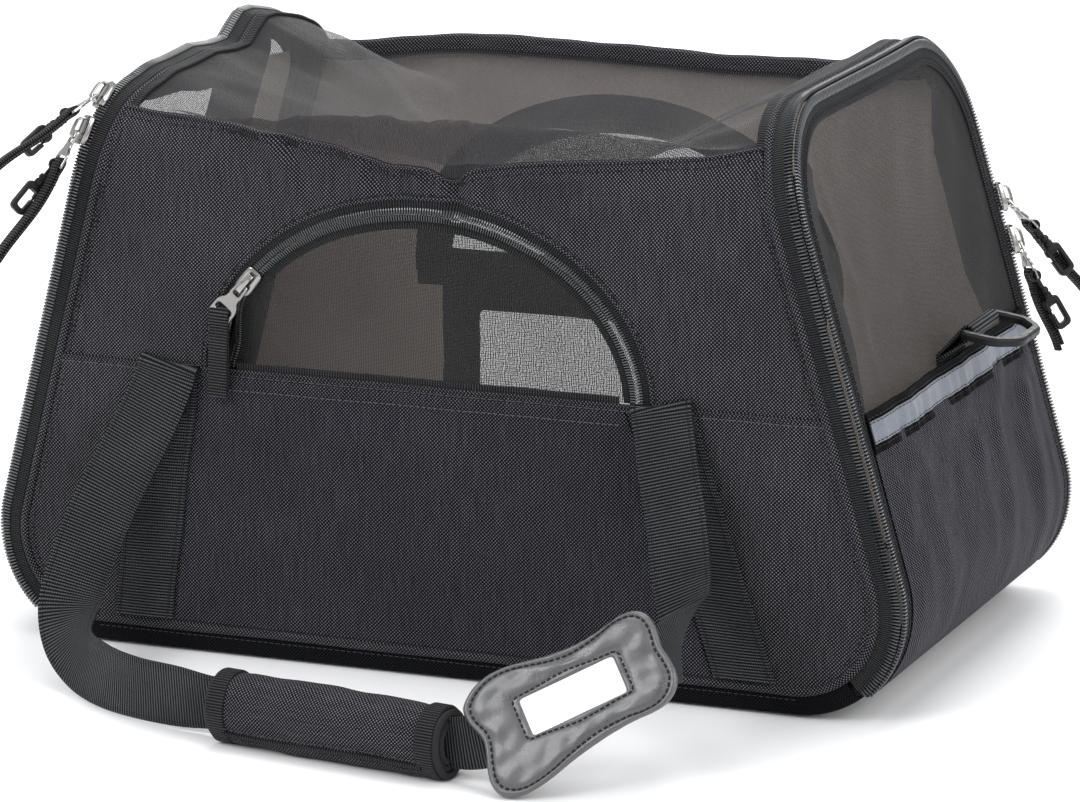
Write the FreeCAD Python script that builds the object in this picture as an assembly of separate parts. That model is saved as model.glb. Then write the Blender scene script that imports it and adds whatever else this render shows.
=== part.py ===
import FreeCAD, Part
import math
import os
from FreeCAD import Vector

# Soft-sided pet carrier with leaning ends, a hooped door in each end, an arched front door
# and two webbing handles lying on the ground. Millimetres.
# X runs along the bag (right +), Y front to back (front is -Y), Z up.
# The origin is the centre of the base, on the ground plane.

# ---- driving dimensions ----
HALF_LENGTH = 262.0       # where the end plane meets the ground plane
LEAN = 0.274              # inward lean of each end, mm per mm of height
HALF_DEPTH = 127.1        # front and rear faces, at the zip centre line
HEIGHT = 298.2            # top of the end hoop, at the zip centre line
R_BOTTOM = 56.0           # lower corner of the end hoop, seen from the front
R_TOP = 60.0              # upper corners of the end hoop, in its leaning plane
WEB_WIDTH = 32.0
WEB_THICKNESS = 1.6
SEW_BOTTOM = 17.5         # height range of the webbing sewn to the panels
SEW_TOP = 149.0
SEW_GAP = 1.3             # from panel centre plane to sewn webbing
ARCH_X, ARCH_Z = -3.0, 149.0              # centre of the arched door's base line
ARCH_HALF_WIDTH, ARCH_HEIGHT = 113.0, 88.0    # of the door's zip line
PANEL_INSET = 16.2        # the panels start this far in from the end plane
PANEL_TOP = 257.0
POCKET_TOP = 152.0        # bound top edge of the end pocket
DOOR_SPLIT = 141.0        # end door: fabric below, mesh above
FOOT_ANGLE = math.radians(-50)            # lower end of the hoop zips, on the lower corner

# ---- derived places ----
LEAN_ANGLE = math.atan(LEAN)
COS_LEAN, SIN_LEAN = math.cos(LEAN_ANGLE), math.sin(LEAN_ANGLE)
LOWER_CORNER_X = HALF_LENGTH - R_BOTTOM * (1 + SIN_LEAN) / COS_LEAN
UPPER_CORNER_Y = HALF_DEPTH - R_TOP
UPPER_CORNER_Z = HEIGHT - R_TOP * COS_LEAN
FOOT_Z = R_BOTTOM + R_BOTTOM * math.sin(FOOT_ANGLE)
FRONT_Y, BACK_Y = -HALF_DEPTH, HALF_DEPTH
REACH = 400.0             # trimming solids run out to here, beyond the bag

ORIGIN = Vector(0, 0, 0)
X_AXIS, Y_AXIS, Z_AXIS = Vector(1, 0, 0), Vector(0, 1, 0), Vector(0, 0, 1)
FRONTWARD = Vector(0, -1, 0)


# ---- general helpers ----
def export(name, *shapes):
    """Write the solids of the shapes as one STEP file, each turned right side out."""
    solids = [solid for shape in shapes for solid in shape.Solids]
    solids = [solid.reversed() if solid.Volume < 0 else solid for solid in solids]
    assert solids and all(solid.isValid() for solid in solids), name
    node = solids[0] if len(solids) == 1 else Part.makeCompound(solids)
    node.exportStep(os.path.join("parts", name + ".step"))
    return node


def box(x0, x1, y0, y1, z0, z1):
    return Part.makeBox(x1 - x0, y1 - y0, z1 - z0, Vector(x0, y0, z0))


def full_length_box(y0, y1, z0, z1):
    return box(-REACH, REACH, y0, y1, z0, z1)


def right_box(z0, z1, y0=-REACH, y1=REACH):
    return box(1, REACH, y0, y1, z0, z1)


def cylinder_y(radius, length, centre):
    return Part.makeCylinder(radius, length, centre - Y_AXIS * (length / 2), Y_AXIS)


def prism(points, direction):
    return Part.Face(Part.makePolygon(points + points[:1])).extrude(direction)


def edges_along(shape, axis):
    return [e for e in shape.Edges if abs(e.tangentAt(e.FirstParameter).dot(axis)) > 0.9]


def mirror_x(shape):
    return shape.mirror(ORIGIN, X_AXIS)


def place(shape, origin, x_dir, z_dir):
    """Move a shape from its local frame to one with the given origin, x and z directions."""
    ex = Vector(x_dir).normalize()
    ez = Vector(z_dir)
    ez = (ez - ex * ez.dot(ex)).normalize()
    ey = ez.cross(ex)
    placed = shape.copy()
    placed.transformShape(FreeCAD.Matrix(ex.x, ey.x, ez.x, origin.x,
                                         ex.y, ey.y, ez.y, origin.y,
                                         ex.z, ey.z, ez.z, origin.z,
                                         0, 0, 0, 1))
    return placed


# ---- bag surfaces ----
def slope_x(inset, z):
    """X of the right end plane, moved in by inset, at height z."""
    return (HALF_LENGTH * COS_LEAN - inset - z * SIN_LEAN) / COS_LEAN


def lower_corner(inset, angle, y=0):
    """Point on the right lower corner's arc, moved in by inset."""
    radius = R_BOTTOM - inset
    return Vector(LOWER_CORNER_X + radius * math.cos(angle), y,
                  R_BOTTOM + radius * math.sin(angle))


def at_end(up_slope, y, inset, side=1):
    """Point on the right (side 1) or left (side -1) end plane."""
    x = HALF_LENGTH - up_slope * SIN_LEAN - inset * COS_LEAN
    return Vector(side * x, y, up_slope * COS_LEAN - inset * SIN_LEAN)


def end_profile(inset):
    """Solid along Y inside the end planes and lower corners, moved in by inset."""
    top = 340.0
    top_x = slope_x(inset, top)
    down = -math.pi / 2

    def corner(side, angle):
        point = lower_corner(inset, angle)
        return Vector(side * point.x, 0, point.z)

    def arc(side):
        middle = (LEAN_ANGLE + down) / 2
        return Part.Arc(corner(side, LEAN_ANGLE), corner(side, middle),
                        corner(side, down)).toShape()

    edges = [Part.makeLine(Vector(top_x, 0, top), corner(1, LEAN_ANGLE)),
             arc(1),
             Part.makeLine(corner(1, down), corner(-1, down)),
             arc(-1),
             Part.makeLine(corner(-1, LEAN_ANGLE), Vector(-top_x, 0, top)),
             Part.makeLine(Vector(-top_x, 0, top), Vector(top_x, 0, top))]
    face = Part.Face(Part.Wire(Part.__sortEdges__(edges)))
    face.translate(Vector(0, -200, 0))
    return face.extrude(Vector(0, 400, 0))


def tube_profile(inset):
    """Solid along X inside the front, rear and top faces, moved in by inset."""
    y, top, bottom = HALF_DEPTH - inset, HEIGHT - inset, -20.0
    corner_y, corner_z = UPPER_CORNER_Y, UPPER_CORNER_Z

    def arc(side):
        ellipse = Part.Ellipse(Vector(0, side * y, corner_z), Vector(0, side * corner_y, top),
                               Vector(0, side * corner_y, corner_z))
        return Part.Edge(ellipse, 0, math.pi / 2)

    edges = [Part.makeLine(Vector(0, -y, bottom), Vector(0, -y, corner_z)),
             arc(-1),
             Part.makeLine(Vector(0, -corner_y, top), Vector(0, corner_y, top)),
             arc(1),
             Part.makeLine(Vector(0, y, corner_z), Vector(0, y, bottom)),
             Part.makeLine(Vector(0, y, bottom), Vector(0, -y, bottom))]
    face = Part.Face(Part.Wire(Part.__sortEdges__(edges)))
    face.translate(Vector(-REACH, 0, 0))
    return face.extrude(Vector(2 * REACH, 0, 0))


def end_skin(outer, inner):
    """Layer of the ends and base between two insets."""
    return end_profile(outer).cut(end_profile(inner))


# ---- end hoops: piping with a spring wire just inside it ----
PIPING_INSET, PIPING_RADIUS = 13.4, 2.4
WIRE_RADIUS = 1.0
WIRE_GAP = 0.3


def hoop_line(tube_inset, start_angle, under_base):
    """Edges of the right hoop's centre line, front foot to rear foot."""
    y = FRONT_Y + tube_inset
    radius = R_TOP - tube_inset

    def upper_corner(angle):
        z = UPPER_CORNER_Z + radius * COS_LEAN * math.sin(angle)
        return Vector(slope_x(PIPING_INSET, z), -UPPER_CORNER_Y - radius * math.cos(angle), z)

    start = lower_corner(PIPING_INSET, start_angle, y)
    middle = lower_corner(PIPING_INSET, (start_angle + LEAN_ANGLE) / 2, y)
    slope_start = lower_corner(PIPING_INSET, LEAN_ANGLE, y)
    front = [Part.makeLine(Vector(0.3, y, PIPING_INSET), start)] if under_base else []
    front += [Part.Arc(start, middle, slope_start).toShape(),
              Part.makeLine(slope_start, upper_corner(0)),
              Part.Arc(upper_corner(0), upper_corner(math.pi / 4),
                       upper_corner(math.pi / 2)).toShape()]
    last = upper_corner(math.pi / 2)
    top = Part.makeLine(last, Vector(last.x, -last.y, last.z))
    rear = [edge.mirror(ORIGIN, Y_AXIS) for edge in reversed(front)]
    return front + [top] + rear


def sweep_round(edges, radius):
    path = Part.Wire(Part.__sortEdges__(edges))
    first = edges[0]
    start = first.FirstParameter
    circle = Part.Circle(first.valueAt(start), first.tangentAt(start), radius)
    return path.makePipeShell([Part.Wire(Part.Edge(circle))], True, True)


def hoops():
    piping = sweep_round(hoop_line(0, -math.pi / 2, True), PIPING_RADIUS)
    export("hoop_piping", piping, mirror_x(piping))
    wire_inset = PIPING_RADIUS + WIRE_RADIUS + WIRE_GAP
    wire = sweep_round(hoop_line(wire_inset, math.radians(-58), False), WIRE_RADIUS)
    export("hoop_wires", wire, mirror_x(wire))


# ---- end zips ----
def hoop_strip(end_outer, end_inner, tube_outer, tube_inner):
    """Right-hand hoop strip between two end insets and two tube insets."""
    strip = end_skin(end_outer, end_inner)
    strip = strip.common(tube_profile(tube_outer).cut(tube_profile(tube_inner)))
    return strip.common(right_box(FOOT_Z, REACH))


def end_zip_half(coil, tape):
    """Coil and tape, each given as the four insets of hoop_strip."""
    return hoop_strip(*coil).fuse(hoop_strip(*tape)).removeSplitter()


def shell_zip():
    half = end_zip_half(coil=(0.4, 3.6, -2.0, 0.6), tape=(3.5, 10.7, -0.5, 0.5))
    export("shell_zip_halves", half, mirror_x(half))


# ---- base ----
BASE_TOP = FOOT_Z - 1.5
BASE_THICKNESS = 2
BASE_HALF_DEPTH = 125.0
SIDE_STRIP = 10.6         # height of the base's turned-up front and rear strips
SIDE_HALF_THICKNESS = 0.6


def base_side(side):
    """Front (-1) or rear (1) strip, with the floor carried out to it."""
    y = side * HALF_DEPTH
    strip = end_skin(0, SIDE_STRIP).common(
        full_length_box(y - SIDE_HALF_THICKNESS, y + SIDE_HALF_THICKNESS, -1, BASE_TOP))
    # 0.1 overlap with the floor
    span = sorted((side * (BASE_HALF_DEPTH - 0.1), y + side * SIDE_HALF_THICKNESS))
    edge = end_skin(0, BASE_THICKNESS).common(full_length_box(*span, -1, BASE_TOP))
    return strip.fuse(edge)


def base():
    floor = end_skin(0, BASE_THICKNESS).common(
        full_length_box(-BASE_HALF_DEPTH, BASE_HALF_DEPTH, -1, BASE_TOP))
    export("base_panel", floor.fuse([base_side(-1), base_side(1)]).removeSplitter())


def rounded_board(length, depth, thickness, z, corner_radius):
    board = Part.makeBox(length, depth, thickness, Vector(-length / 2, -depth / 2, z))
    return board.makeFillet(corner_radius, edges_along(board, Z_AXIS))


def base_inserts():
    export("base_board", rounded_board(380, 236, 3.0, z=2.3, corner_radius=18))
    pad = rounded_board(404, 232, 15.0, z=6.5, corner_radius=24)
    rims = [edge for edge in pad.Edges if abs(edge.BoundBox.ZLength) < 0.01]
    export("floor_pad", pad.makeFillet(4.5, rims))


# ---- front and rear panels ----
CLOTH_HALF = 1.0          # half thickness of the panels
MESH_HALF = 0.5           # half thickness of their mesh and zip tape
CUTTER_HALF = 5           # half depth of the cutters that open the panels
WINDOW = (-93.5, 93.5, 40.0, 127.5)       # rear window: x from, to, z from, to
WINDOW_RADIUS = 8


def arch(grow, y, half_thickness, base_z):
    """Half-ellipse slab centred on y, its outline moved out from the door's zip line."""
    y0, y1 = y - half_thickness, y + half_thickness
    centre = Vector(ARCH_X, y0, ARCH_Z)
    outline = Part.Edge(Part.Ellipse(centre, ARCH_HALF_WIDTH + grow, ARCH_HEIGHT + grow))
    outline.rotate(centre, X_AXIS, 90)
    slab = Part.Face(Part.Wire(outline)).extrude(Vector(0, y1 - y0, 0))
    return slab.common(full_length_box(y0 - 1, y1 + 1, base_z, REACH))


def rear_window(inset, half_thickness):
    x0, x1, z0, z1 = WINDOW
    block = box(x0 + inset, x1 - inset, BACK_Y - half_thickness, BACK_Y + half_thickness,
                z0 + inset, z1 - inset)
    return block.makeFillet(WINDOW_RADIUS - inset, edges_along(block, Y_AXIS))


def plain_panel(y):
    return end_profile(PANEL_INSET).common(
        full_length_box(y - CLOTH_HALF, y + CLOTH_HALF, 0, PANEL_TOP))


def panels():
    export("front_panel", plain_panel(FRONT_Y).cut(arch(8.3, FRONT_Y, CUTTER_HALF, ARCH_Z)))
    back = plain_panel(BACK_Y).cut(arch(-7, BACK_Y, CUTTER_HALF, ARCH_Z + 3))
    export("back_panel", back.cut(rear_window(0, CUTTER_HALF)))
    export("back_mesh_windows",
           arch(-7.3, BACK_Y, MESH_HALF, ARCH_Z + 3.3),
           rear_window(0.3, MESH_HALF))


def front_pocket():
    """Slip pocket over the lower front, between the sewn webbing."""
    outline = [(-146, 19), (146, 19), (104, 147), (-124, 147)]     # x, z
    export("front_pocket",
           prism([Vector(x, FRONT_Y - 2.4, z) for x, z in outline], Vector(0, 1.2, 0)))


def sewn_strip(bottom_x, top_x, y):
    """Webbing sewn flat on a panel, between two centre-line points; y is its front face."""
    half = WEB_WIDTH / 2
    corners = [(bottom_x - half, SEW_BOTTOM), (bottom_x + half, SEW_BOTTOM),
               (top_x + half, SEW_TOP), (top_x - half, SEW_TOP)]
    return prism([Vector(x, y, z) for x, z in corners], Vector(0, WEB_THICKNESS, 0))


def sewn_webbing():
    front = FRONT_Y - SEW_GAP - WEB_THICKNESS
    export("front_sewn_webbing",
           sewn_strip(-164, -142.4, front), sewn_strip(164, 123.6, front))
    back = BACK_Y + SEW_GAP
    export("back_sewn_webbing", sewn_strip(-162, -132.5, back), sewn_strip(162, 132.5, back))


# ---- sagging mesh top ----
TOP_HALF_LENGTH = 158
TOP_THICKNESS = 1.2
SAG_POWER = 2.2           # how late the section rises from the sag to the end shape
TOP_STATIONS = (-158, -125, -85, -40, 0, 40, 85, 125, 158)
# Outer lines of the section at the ends and at mid-length: y, z
TOP_END = [(-124.6, 250), (-114, 276), (-93, 291.5), (-66, 296), (0, 296.4),
           (66, 296), (93, 291.5), (114, 276), (124.6, 250)]
TOP_MIDDLE = [(-124.6, 250), (-121, 258.5), (-106, 257), (-66, 240), (0, 228),
              (66, 242), (106, 262), (121, 268), (124.6, 250)]


def top_section(x):
    blend = min(1.0, abs(x) / TOP_HALF_LENGTH) ** SAG_POWER
    outer = [Vector(x, end[0] * blend + mid[0] * (1 - blend),
                    end[1] * blend + mid[1] * (1 - blend))
             for end, mid in zip(TOP_END, TOP_MIDDLE)]
    inner = []
    for i, point in enumerate(outer):
        along = outer[min(len(outer) - 1, i + 1)] - outer[max(0, i - 1)]
        step = TOP_THICKNESS / math.hypot(along.y, along.z)
        inner.append(point + Vector(0, along.z * step, -along.y * step))
    outer_curve = Part.BSplineCurve()
    outer_curve.interpolate(outer)
    inner_curve = Part.BSplineCurve()
    inner_curve.interpolate(inner)
    return Part.Wire([outer_curve.toShape(), Part.makeLine(outer[-1], inner[-1]),
                      inner_curve.toShape(), Part.makeLine(inner[0], outer[0])])


def top_mesh():
    sections = [top_section(x) for x in TOP_STATIONS]
    export("top_mesh_panel", Part.makeLoft(sections, True, False))


# ---- arched front door ----
COIL_HALF = 1.5           # half thickness of the zip coil


def arch_ring(inner_grow, outer_grow, half_thickness, base_z):
    outer = arch(outer_grow, FRONT_Y, half_thickness, base_z)
    return outer.cut(arch(inner_grow, FRONT_Y, half_thickness, base_z - 5))


def front_door():
    frame_z, door_z = ARCH_Z + 0.4, ARCH_Z + 2
    coil = arch_ring(0.3, 3.0, COIL_HALF, frame_z)
    tape = arch_ring(2.9, 8.0, MESH_HALF, frame_z)
    export("front_door_frame_zip", coil.fuse(tape).removeSplitter())
    coil = arch_ring(-3.0, -0.3, COIL_HALF, door_z)
    tape = arch_ring(-7.0, -2.9, MESH_HALF, door_z)
    export("front_door_zip_half", coil.fuse(tape).removeSplitter())
    export("front_door_mesh", arch(-7.2, FRONT_Y, MESH_HALF, door_z))


# ---- end doors, built on the right ----
# Sheets of the door: name, outer and inner end inset, tube inset, z from, z to
DOOR_SHEETS = [
    ("door_mesh", -0.4, 0.4, 11.7, DOOR_SPLIT, REACH),
    ("door_lower_panel", -0.6, 0.6, 11.7, FOOT_Z, DOOR_SPLIT - 0.2),
    ("pocket", -2.4, -1.0, 12.6, FOOT_Z + 5, POCKET_TOP - 20.2),
    ("pocket_binding", -2.6, -0.9, 12.6, POCKET_TOP - 20, POCKET_TOP),
    ("reflective_strip", -3.2, -2.7, 13.0, POCKET_TOP - 15, POCKET_TOP - 5),
]
RING_AXIS = at_end((POCKET_TOP + 1) / COS_LEAN, 0, -6.4) + Vector(11.0, 8.0, 14.5)
RING_DROP = math.radians(8)               # the ring slopes this much down from level
RING_HALF_THICKNESS = 2.1
RING_BAR_RADIUS = 2.2
LOOP_WIDTH = 38
LEG_HALF_THICKNESS = 1.1
# Ring outlines: distance out from the bar, y
RING_OUTER = [(-2.1, -25.5), (-2.1, 25.5), (16.5, 25.5), (28, 14.5), (28, -14.5), (16.5, -25.5)]
RING_INNER = [(3.6, -20.6), (3.6, 20.6), (14.4, 20.6), (22.8, 12.4), (22.8, -12.4),
              (14.4, -20.6)]
BAR_GAP = [(-4, -20.2), (-4, 20.2), (4.4, 20.2), (4.4, -20.2)]


def door_sheet(outer, inner, tube_inset, z0, z1):
    sheet = end_skin(outer, inner).common(tube_profile(tube_inset))
    return sheet.common(right_box(z0, z1))


def ring_loop():
    """Folded webbing: a sleeve round the ring's bar, a leg down and a foot on the end."""
    half = LOOP_WIDTH / 2
    y = RING_AXIS.y
    sleeve = cylinder_y(3.3, LOOP_WIDTH, RING_AXIS).cut(cylinder_y(2.26, LOOP_WIDTH, RING_AXIS))
    root = at_end((POCKET_TOP + 3) / COS_LEAN, 0, -1.8) + Vector(0, y, 0)
    up = (RING_AXIS - root).normalize()
    offset = up.cross(Y_AXIS) * LEG_HALF_THICKNESS
    start = root - up * 1.2
    corners = [start - offset, RING_AXIS - offset, RING_AXIS + offset, start + offset]
    leg = prism([corner - Y_AXIS * half for corner in corners], Y_AXIS * LOOP_WIDTH)
    foot = end_skin(-2.5, -1.1).common(tube_profile(12.6)).common(
        right_box(POCKET_TOP, POCKET_TOP + 4, y - half, y + half))
    tail = leg.common(right_box(POCKET_TOP, REACH)).cut(end_profile(-0.6)).fuse(foot)
    tail = tail.cut(cylinder_y(2.9, 60, RING_AXIS))
    return sleeve.fuse(tail).removeSplitter()


def ring_slab(outline, half_thickness):
    out = Vector(math.cos(RING_DROP), 0, -math.sin(RING_DROP))
    up = Vector(math.sin(RING_DROP), 0, math.cos(RING_DROP))
    points = [RING_AXIS + out * distance + Vector(0, y, 0) - up * half_thickness
              for distance, y in outline]
    return prism(points, up * (2 * half_thickness))


def d_ring():
    """Trapezoid ring standing outwards; only its round bar runs through the loop."""
    ring = ring_slab(RING_OUTER, RING_HALF_THICKNESS).cut(ring_slab(RING_INNER, 3))
    ring = ring.cut(ring_slab(BAR_GAP, 4))
    return ring.fuse(cylinder_y(RING_BAR_RADIUS, 41.4, RING_AXIS)).removeSplitter()


def end_doors():
    pieces = [("door_zip_half", end_zip_half(coil=(-2.0, 0.6, 1.0, 3.8),
                                             tape=(-0.5, 0.5, 3.7, 11.5)))]
    pieces += [(name, door_sheet(*sizes)) for name, *sizes in DOOR_SHEETS]
    pieces += [("ring_loop", ring_loop()), ("d_ring", d_ring())]
    for name, piece in pieces:
        export("right_" + name, piece)
        export("left_" + name, mirror_x(piece))


# ---- zip hardware ----
# Sliders: local x along the zip, z outwards. Pulls: local x away from the hinge.
PIN_X = -3.0              # hinge bar along the slider
PIN_HEIGHT = 3.7          # hinge bar above the slider plate's underside
TAB_LENGTH = 20.0
TAB_EYE = TAB_LENGTH - 1.4                # middle of the tab's end bar
CLIP_Y = 2.6              # near side of the snap clip


def slider(plate_z, width):
    half = width / 2.0
    outline = [(-7.5, -half * .62), (-5, -half), (4, -half), (7.5, -half * .8),
               (7.5, half * .8), (4, half), (-5, half), (-7.5, half * .62)]
    plate = prism([Vector(x, y, plate_z) for x, y in outline], Vector(0, 0, 1.6))
    bridge = box(-5.4, 5.0, -1.5, 1.5, plate_z + 1.5, plate_z + 5.6)
    bridge = bridge.cut(cylinder_y(1.15, 6, Vector(PIN_X, 0, plate_z + PIN_HEIGHT)))
    return plate.fuse(bridge).removeSplitter()


def pull_tab(half_width):
    bar = cylinder_y(1.08, 6.8, ORIGIN)
    arms = box(0, 7.5, -3.4, -2.0, -.7, .7).fuse(box(0, 7.5, 2.0, 3.4, -.7, .7))
    outline = [(7, -3.4), (12, -half_width), (TAB_LENGTH, -half_width),
               (TAB_LENGTH, half_width), (12, half_width), (7, 3.4)]
    blade = prism([Vector(x, y, -.7) for x, y in outline], Vector(0, 0, 1.4))
    slot_half = half_width - 1.1
    slot = box(TAB_LENGTH - 6.4, TAB_LENGTH - 2.8, -slot_half, slot_half, -2, 2)
    return bar.fuse([arms, blade]).cut(slot).removeSplitter()


def webbing_pull(x, y0, y1, length, slot_half):
    """Strap starting at x, with a slotted block for the tab's end bar."""
    block = box(x, x + 9.5, y0, y1, -2.1, 2.1)
    block = block.cut(box(x + 1.1, x + 8.0, y0 - 1, y1 + 1, -slot_half, slot_half))
    return block.fuse(box(x + 9.0, x + length, y0, y1, -1.1, 1.1)).removeSplitter()


def snap_clip():
    """Clip with its eye on the local y axis."""
    y = CLIP_Y
    centre = Vector(0, y + 1.0, 0)
    eye = cylinder_y(3.2, 2.0, centre).cut(cylinder_y(1.8, 3.0, centre))
    stem = box(2.6, 8.0, y, y + 2.0, -1.2, 1.2)
    barrel = Part.makeCylinder(2.6, 6.0, centre + Vector(7.6, 0, 0), X_AXIS)
    barrel = barrel.common(box(0, 40, y - .1, 40, -9, 9))
    body = box(13.4, 31, y, y + 4.4, -4.5, 4.5)
    body = body.cut(box(17.5, 28, y - 1, y + 9, -2.2, 2.2))
    body = body.cut(box(17.5, 22, y - 1, y + 9, 2.0, 6.0))
    return eye.fuse([stem, barrel, body]).removeSplitter()


def swing(along, out, degrees):
    """Direction back along the zip, lifted outwards by an angle."""
    angle = math.radians(degrees)
    return along * -math.cos(angle) + out * math.sin(angle)


def slider_and_tab(prefix, point, along, out, lift, plate_z, width, tab_half):
    """Export a slider and its tab; return hinge point, tab direction, tab normal and tab."""
    across = out.cross(along)
    export(prefix + "_slider", place(slider(plate_z, width), point, along, out))
    pin = point + along * PIN_X + out * (plate_z + PIN_HEIGHT)
    direction = swing(along, out, lift)
    normal = direction.cross(across)
    tab = export(prefix + "_pull_tab", place(pull_tab(tab_half), pin, direction, normal))
    return pin, direction, normal, tab


def end_pull_set(prefix, point, along, out, lift, strap_length, clip_lift):
    """Slider, tab, webbing pull and snap clip; clip_lift is added to the tab's lift."""
    along = Vector(along).normalize()
    out = (out - along * out.dot(along)).normalize()
    pin, direction, normal, _ = slider_and_tab(
        prefix, point, along, out, lift, plate_z=1.5, width=10.0, tab_half=6.5)
    strap = webbing_pull(TAB_LENGTH - 5.6, -5.2, 1.8, strap_length, slot_half=1.0)
    export(prefix + "_webbing_pull", place(strap, pin, direction, normal))
    clip_direction = swing(along, out, lift + clip_lift)
    export(prefix + "_snap_clip", place(snap_clip(), pin + direction * TAB_EYE, clip_direction,
                                        clip_direction.cross(out.cross(along))))


def right_pulls():
    """Pair on the rear straight of the right hoop."""
    up = Vector(-SIN_LEAN, 0, COS_LEAN)
    out = Vector(COS_LEAN, 0, SIN_LEAN) + Y_AXIS
    # name, slope height z, tab lift, strap length, clip lift
    for prefix, z, *setting in (("right_upper", 206.0, 30, 62, -8),
                                ("right_lower", 184.0, 8, 46, 8)):
        end_pull_set(prefix, at_end(z / COS_LEAN, HALF_DEPTH, 0), up, out, *setting)


def left_pulls():
    """Pair on the front upper corner's arc of the left hoop."""
    up = Vector(SIN_LEAN, 0, COS_LEAN)
    centre = at_end(UPPER_CORNER_Z / COS_LEAN, -UPPER_CORNER_Y, 0, -1)
    # name, angle up the arc, tab lift, strap length, clip lift
    for prefix, degrees, *setting in (("left_upper", 48.0, 22, 62, -8),
                                      ("left_lower", 26.0, 8, 62, 10)):
        angle = math.radians(degrees)
        radial = FRONTWARD * math.cos(angle) + up * math.sin(angle)
        tangent = Y_AXIS * math.sin(angle) + up * math.cos(angle)
        out = Vector(-COS_LEAN, 0, SIN_LEAN) + radial
        end_pull_set(prefix, centre + radial * R_TOP, tangent, out, *setting)


def front_pull():
    """Slider on the arch's left shoulder, with a hanging webbing pull."""
    slider_z = 197.0
    rise = (slider_z - ARCH_Z) / ARCH_HEIGHT
    run = math.sqrt(1 - rise * rise)
    point = Vector(ARCH_X - ARCH_HALF_WIDTH * run, FRONT_Y, slider_z)
    along = Vector(ARCH_HALF_WIDTH * rise, 0, ARCH_HEIGHT * run).normalize()
    pin, direction, _, tab = slider_and_tab(
        "front", point, along, FRONTWARD, lift=6, plate_z=1.9, width=9.0, tab_half=6.3)
    down = Vector(-0.05, 0, -1).normalize()
    start = pin + direction * TAB_EYE - down * 3.3 + Vector(0, -0.1, 0)
    strap = place(webbing_pull(0, -5, 5, 62, slot_half=1.05), start, down, FRONTWARD)
    # clear the tab out of the strap and keep the main piece
    strap = strap.cut(tab)
    export("front_webbing_pull", max(strap.Solids, key=lambda solid: solid.Volume))


# ---- name tag: leans back, faces forwards and slightly to the right ----
TAG_TILT, TAG_TURN, TAG_ROLL = math.radians(29.6), math.radians(7.6), math.radians(29.3)
TAG_CENTRE = Vector(130.2, -262.0, 44.9)
TAG_NORMAL = Vector(math.sin(TAG_TURN) * math.cos(TAG_TILT),
                    -math.cos(TAG_TURN) * math.cos(TAG_TILT), math.sin(TAG_TILT))
TAG_LEVEL = Z_AXIS.cross(TAG_NORMAL).normalize()
TAG_UP = TAG_NORMAL.cross(TAG_LEVEL).normalize()
TAG_X = TAG_LEVEL * math.cos(TAG_ROLL) + TAG_UP * math.sin(TAG_ROLL)
TAG_Y = TAG_NORMAL.cross(TAG_X)
TAG_WINDOW = (24.7, 9.6)                  # half length, half width
# Bone outline in the tag's plane: along TAG_X, along TAG_Y
BONE = [
    (-51.2, 10.4), (-47.9, -0.6), (-51.2, -15.8), (-52.1, -21.7), (-50.6, -27.6),
    (-45.9, -31.6), (-40.0, -33.3), (-33.0, -33.2), (-23.3, -31.6), (-14.0, -29.0),
    (1.4, -25.8), (13.0, -24.2), (23.0, -23.6), (31.0, -23.8), (38.0, -23.0),
    (43.8, -20.2), (47.9, -15.4), (49.5, -9.9), (49.1, -3.4), (47.9, 3.6),
    (48.5, 9.7), (48.8, 14.8), (47.5, 20.7), (43.2, 25.0), (35.3, 26.1),
    (26.0, 24.3), (15.1, 22.9), (4.6, 22.9), (-5.4, 24.0), (-14.2, 25.6),
    (-23.9, 27.2), (-33.2, 27.3), (-40.3, 25.4), (-46.2, 22.0), (-50.8, 17.0)]


def on_tag(x, y, height):
    return TAG_CENTRE + TAG_X * x + TAG_Y * y + TAG_NORMAL * height


def tag_box(half_x, half_y, h0, h1):
    signs = [(-1, -1), (1, -1), (1, 1), (-1, 1)]
    points = [on_tag(sx * half_x, sy * half_y, h0) for sx, sy in signs]
    return prism(points, TAG_NORMAL * (h1 - h0))


def window_box(margin, h0, h1):
    return tag_box(TAG_WINDOW[0] + margin, TAG_WINDOW[1] + margin, h0, h1)


def name_tag():
    bottom, top = -1.8, 1.6
    outline = Part.BSplineCurve()
    outline.interpolate([on_tag(x, y, bottom) for x, y in BONE], PeriodicFlag=True)
    tag = Part.Face(Part.Wire(outline.toShape())).extrude(TAG_NORMAL * (top - bottom))
    tag = tag.cut(window_box(0, .2, 3)).cut(window_box(2.4, -.5, .9))
    # keeper on the back, open along TAG_X for the handle webbing
    keeper = tag_box(16, 19, -6.4, bottom).cut(tag_box(17, 15.6, -5.2, -1.9))
    export("name_tag", tag.fuse(keeper).removeSplitter())
    export("name_card", window_box(2.1, -.4, .0))
    export("tag_window", window_box(2.1, .1, .6))


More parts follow.
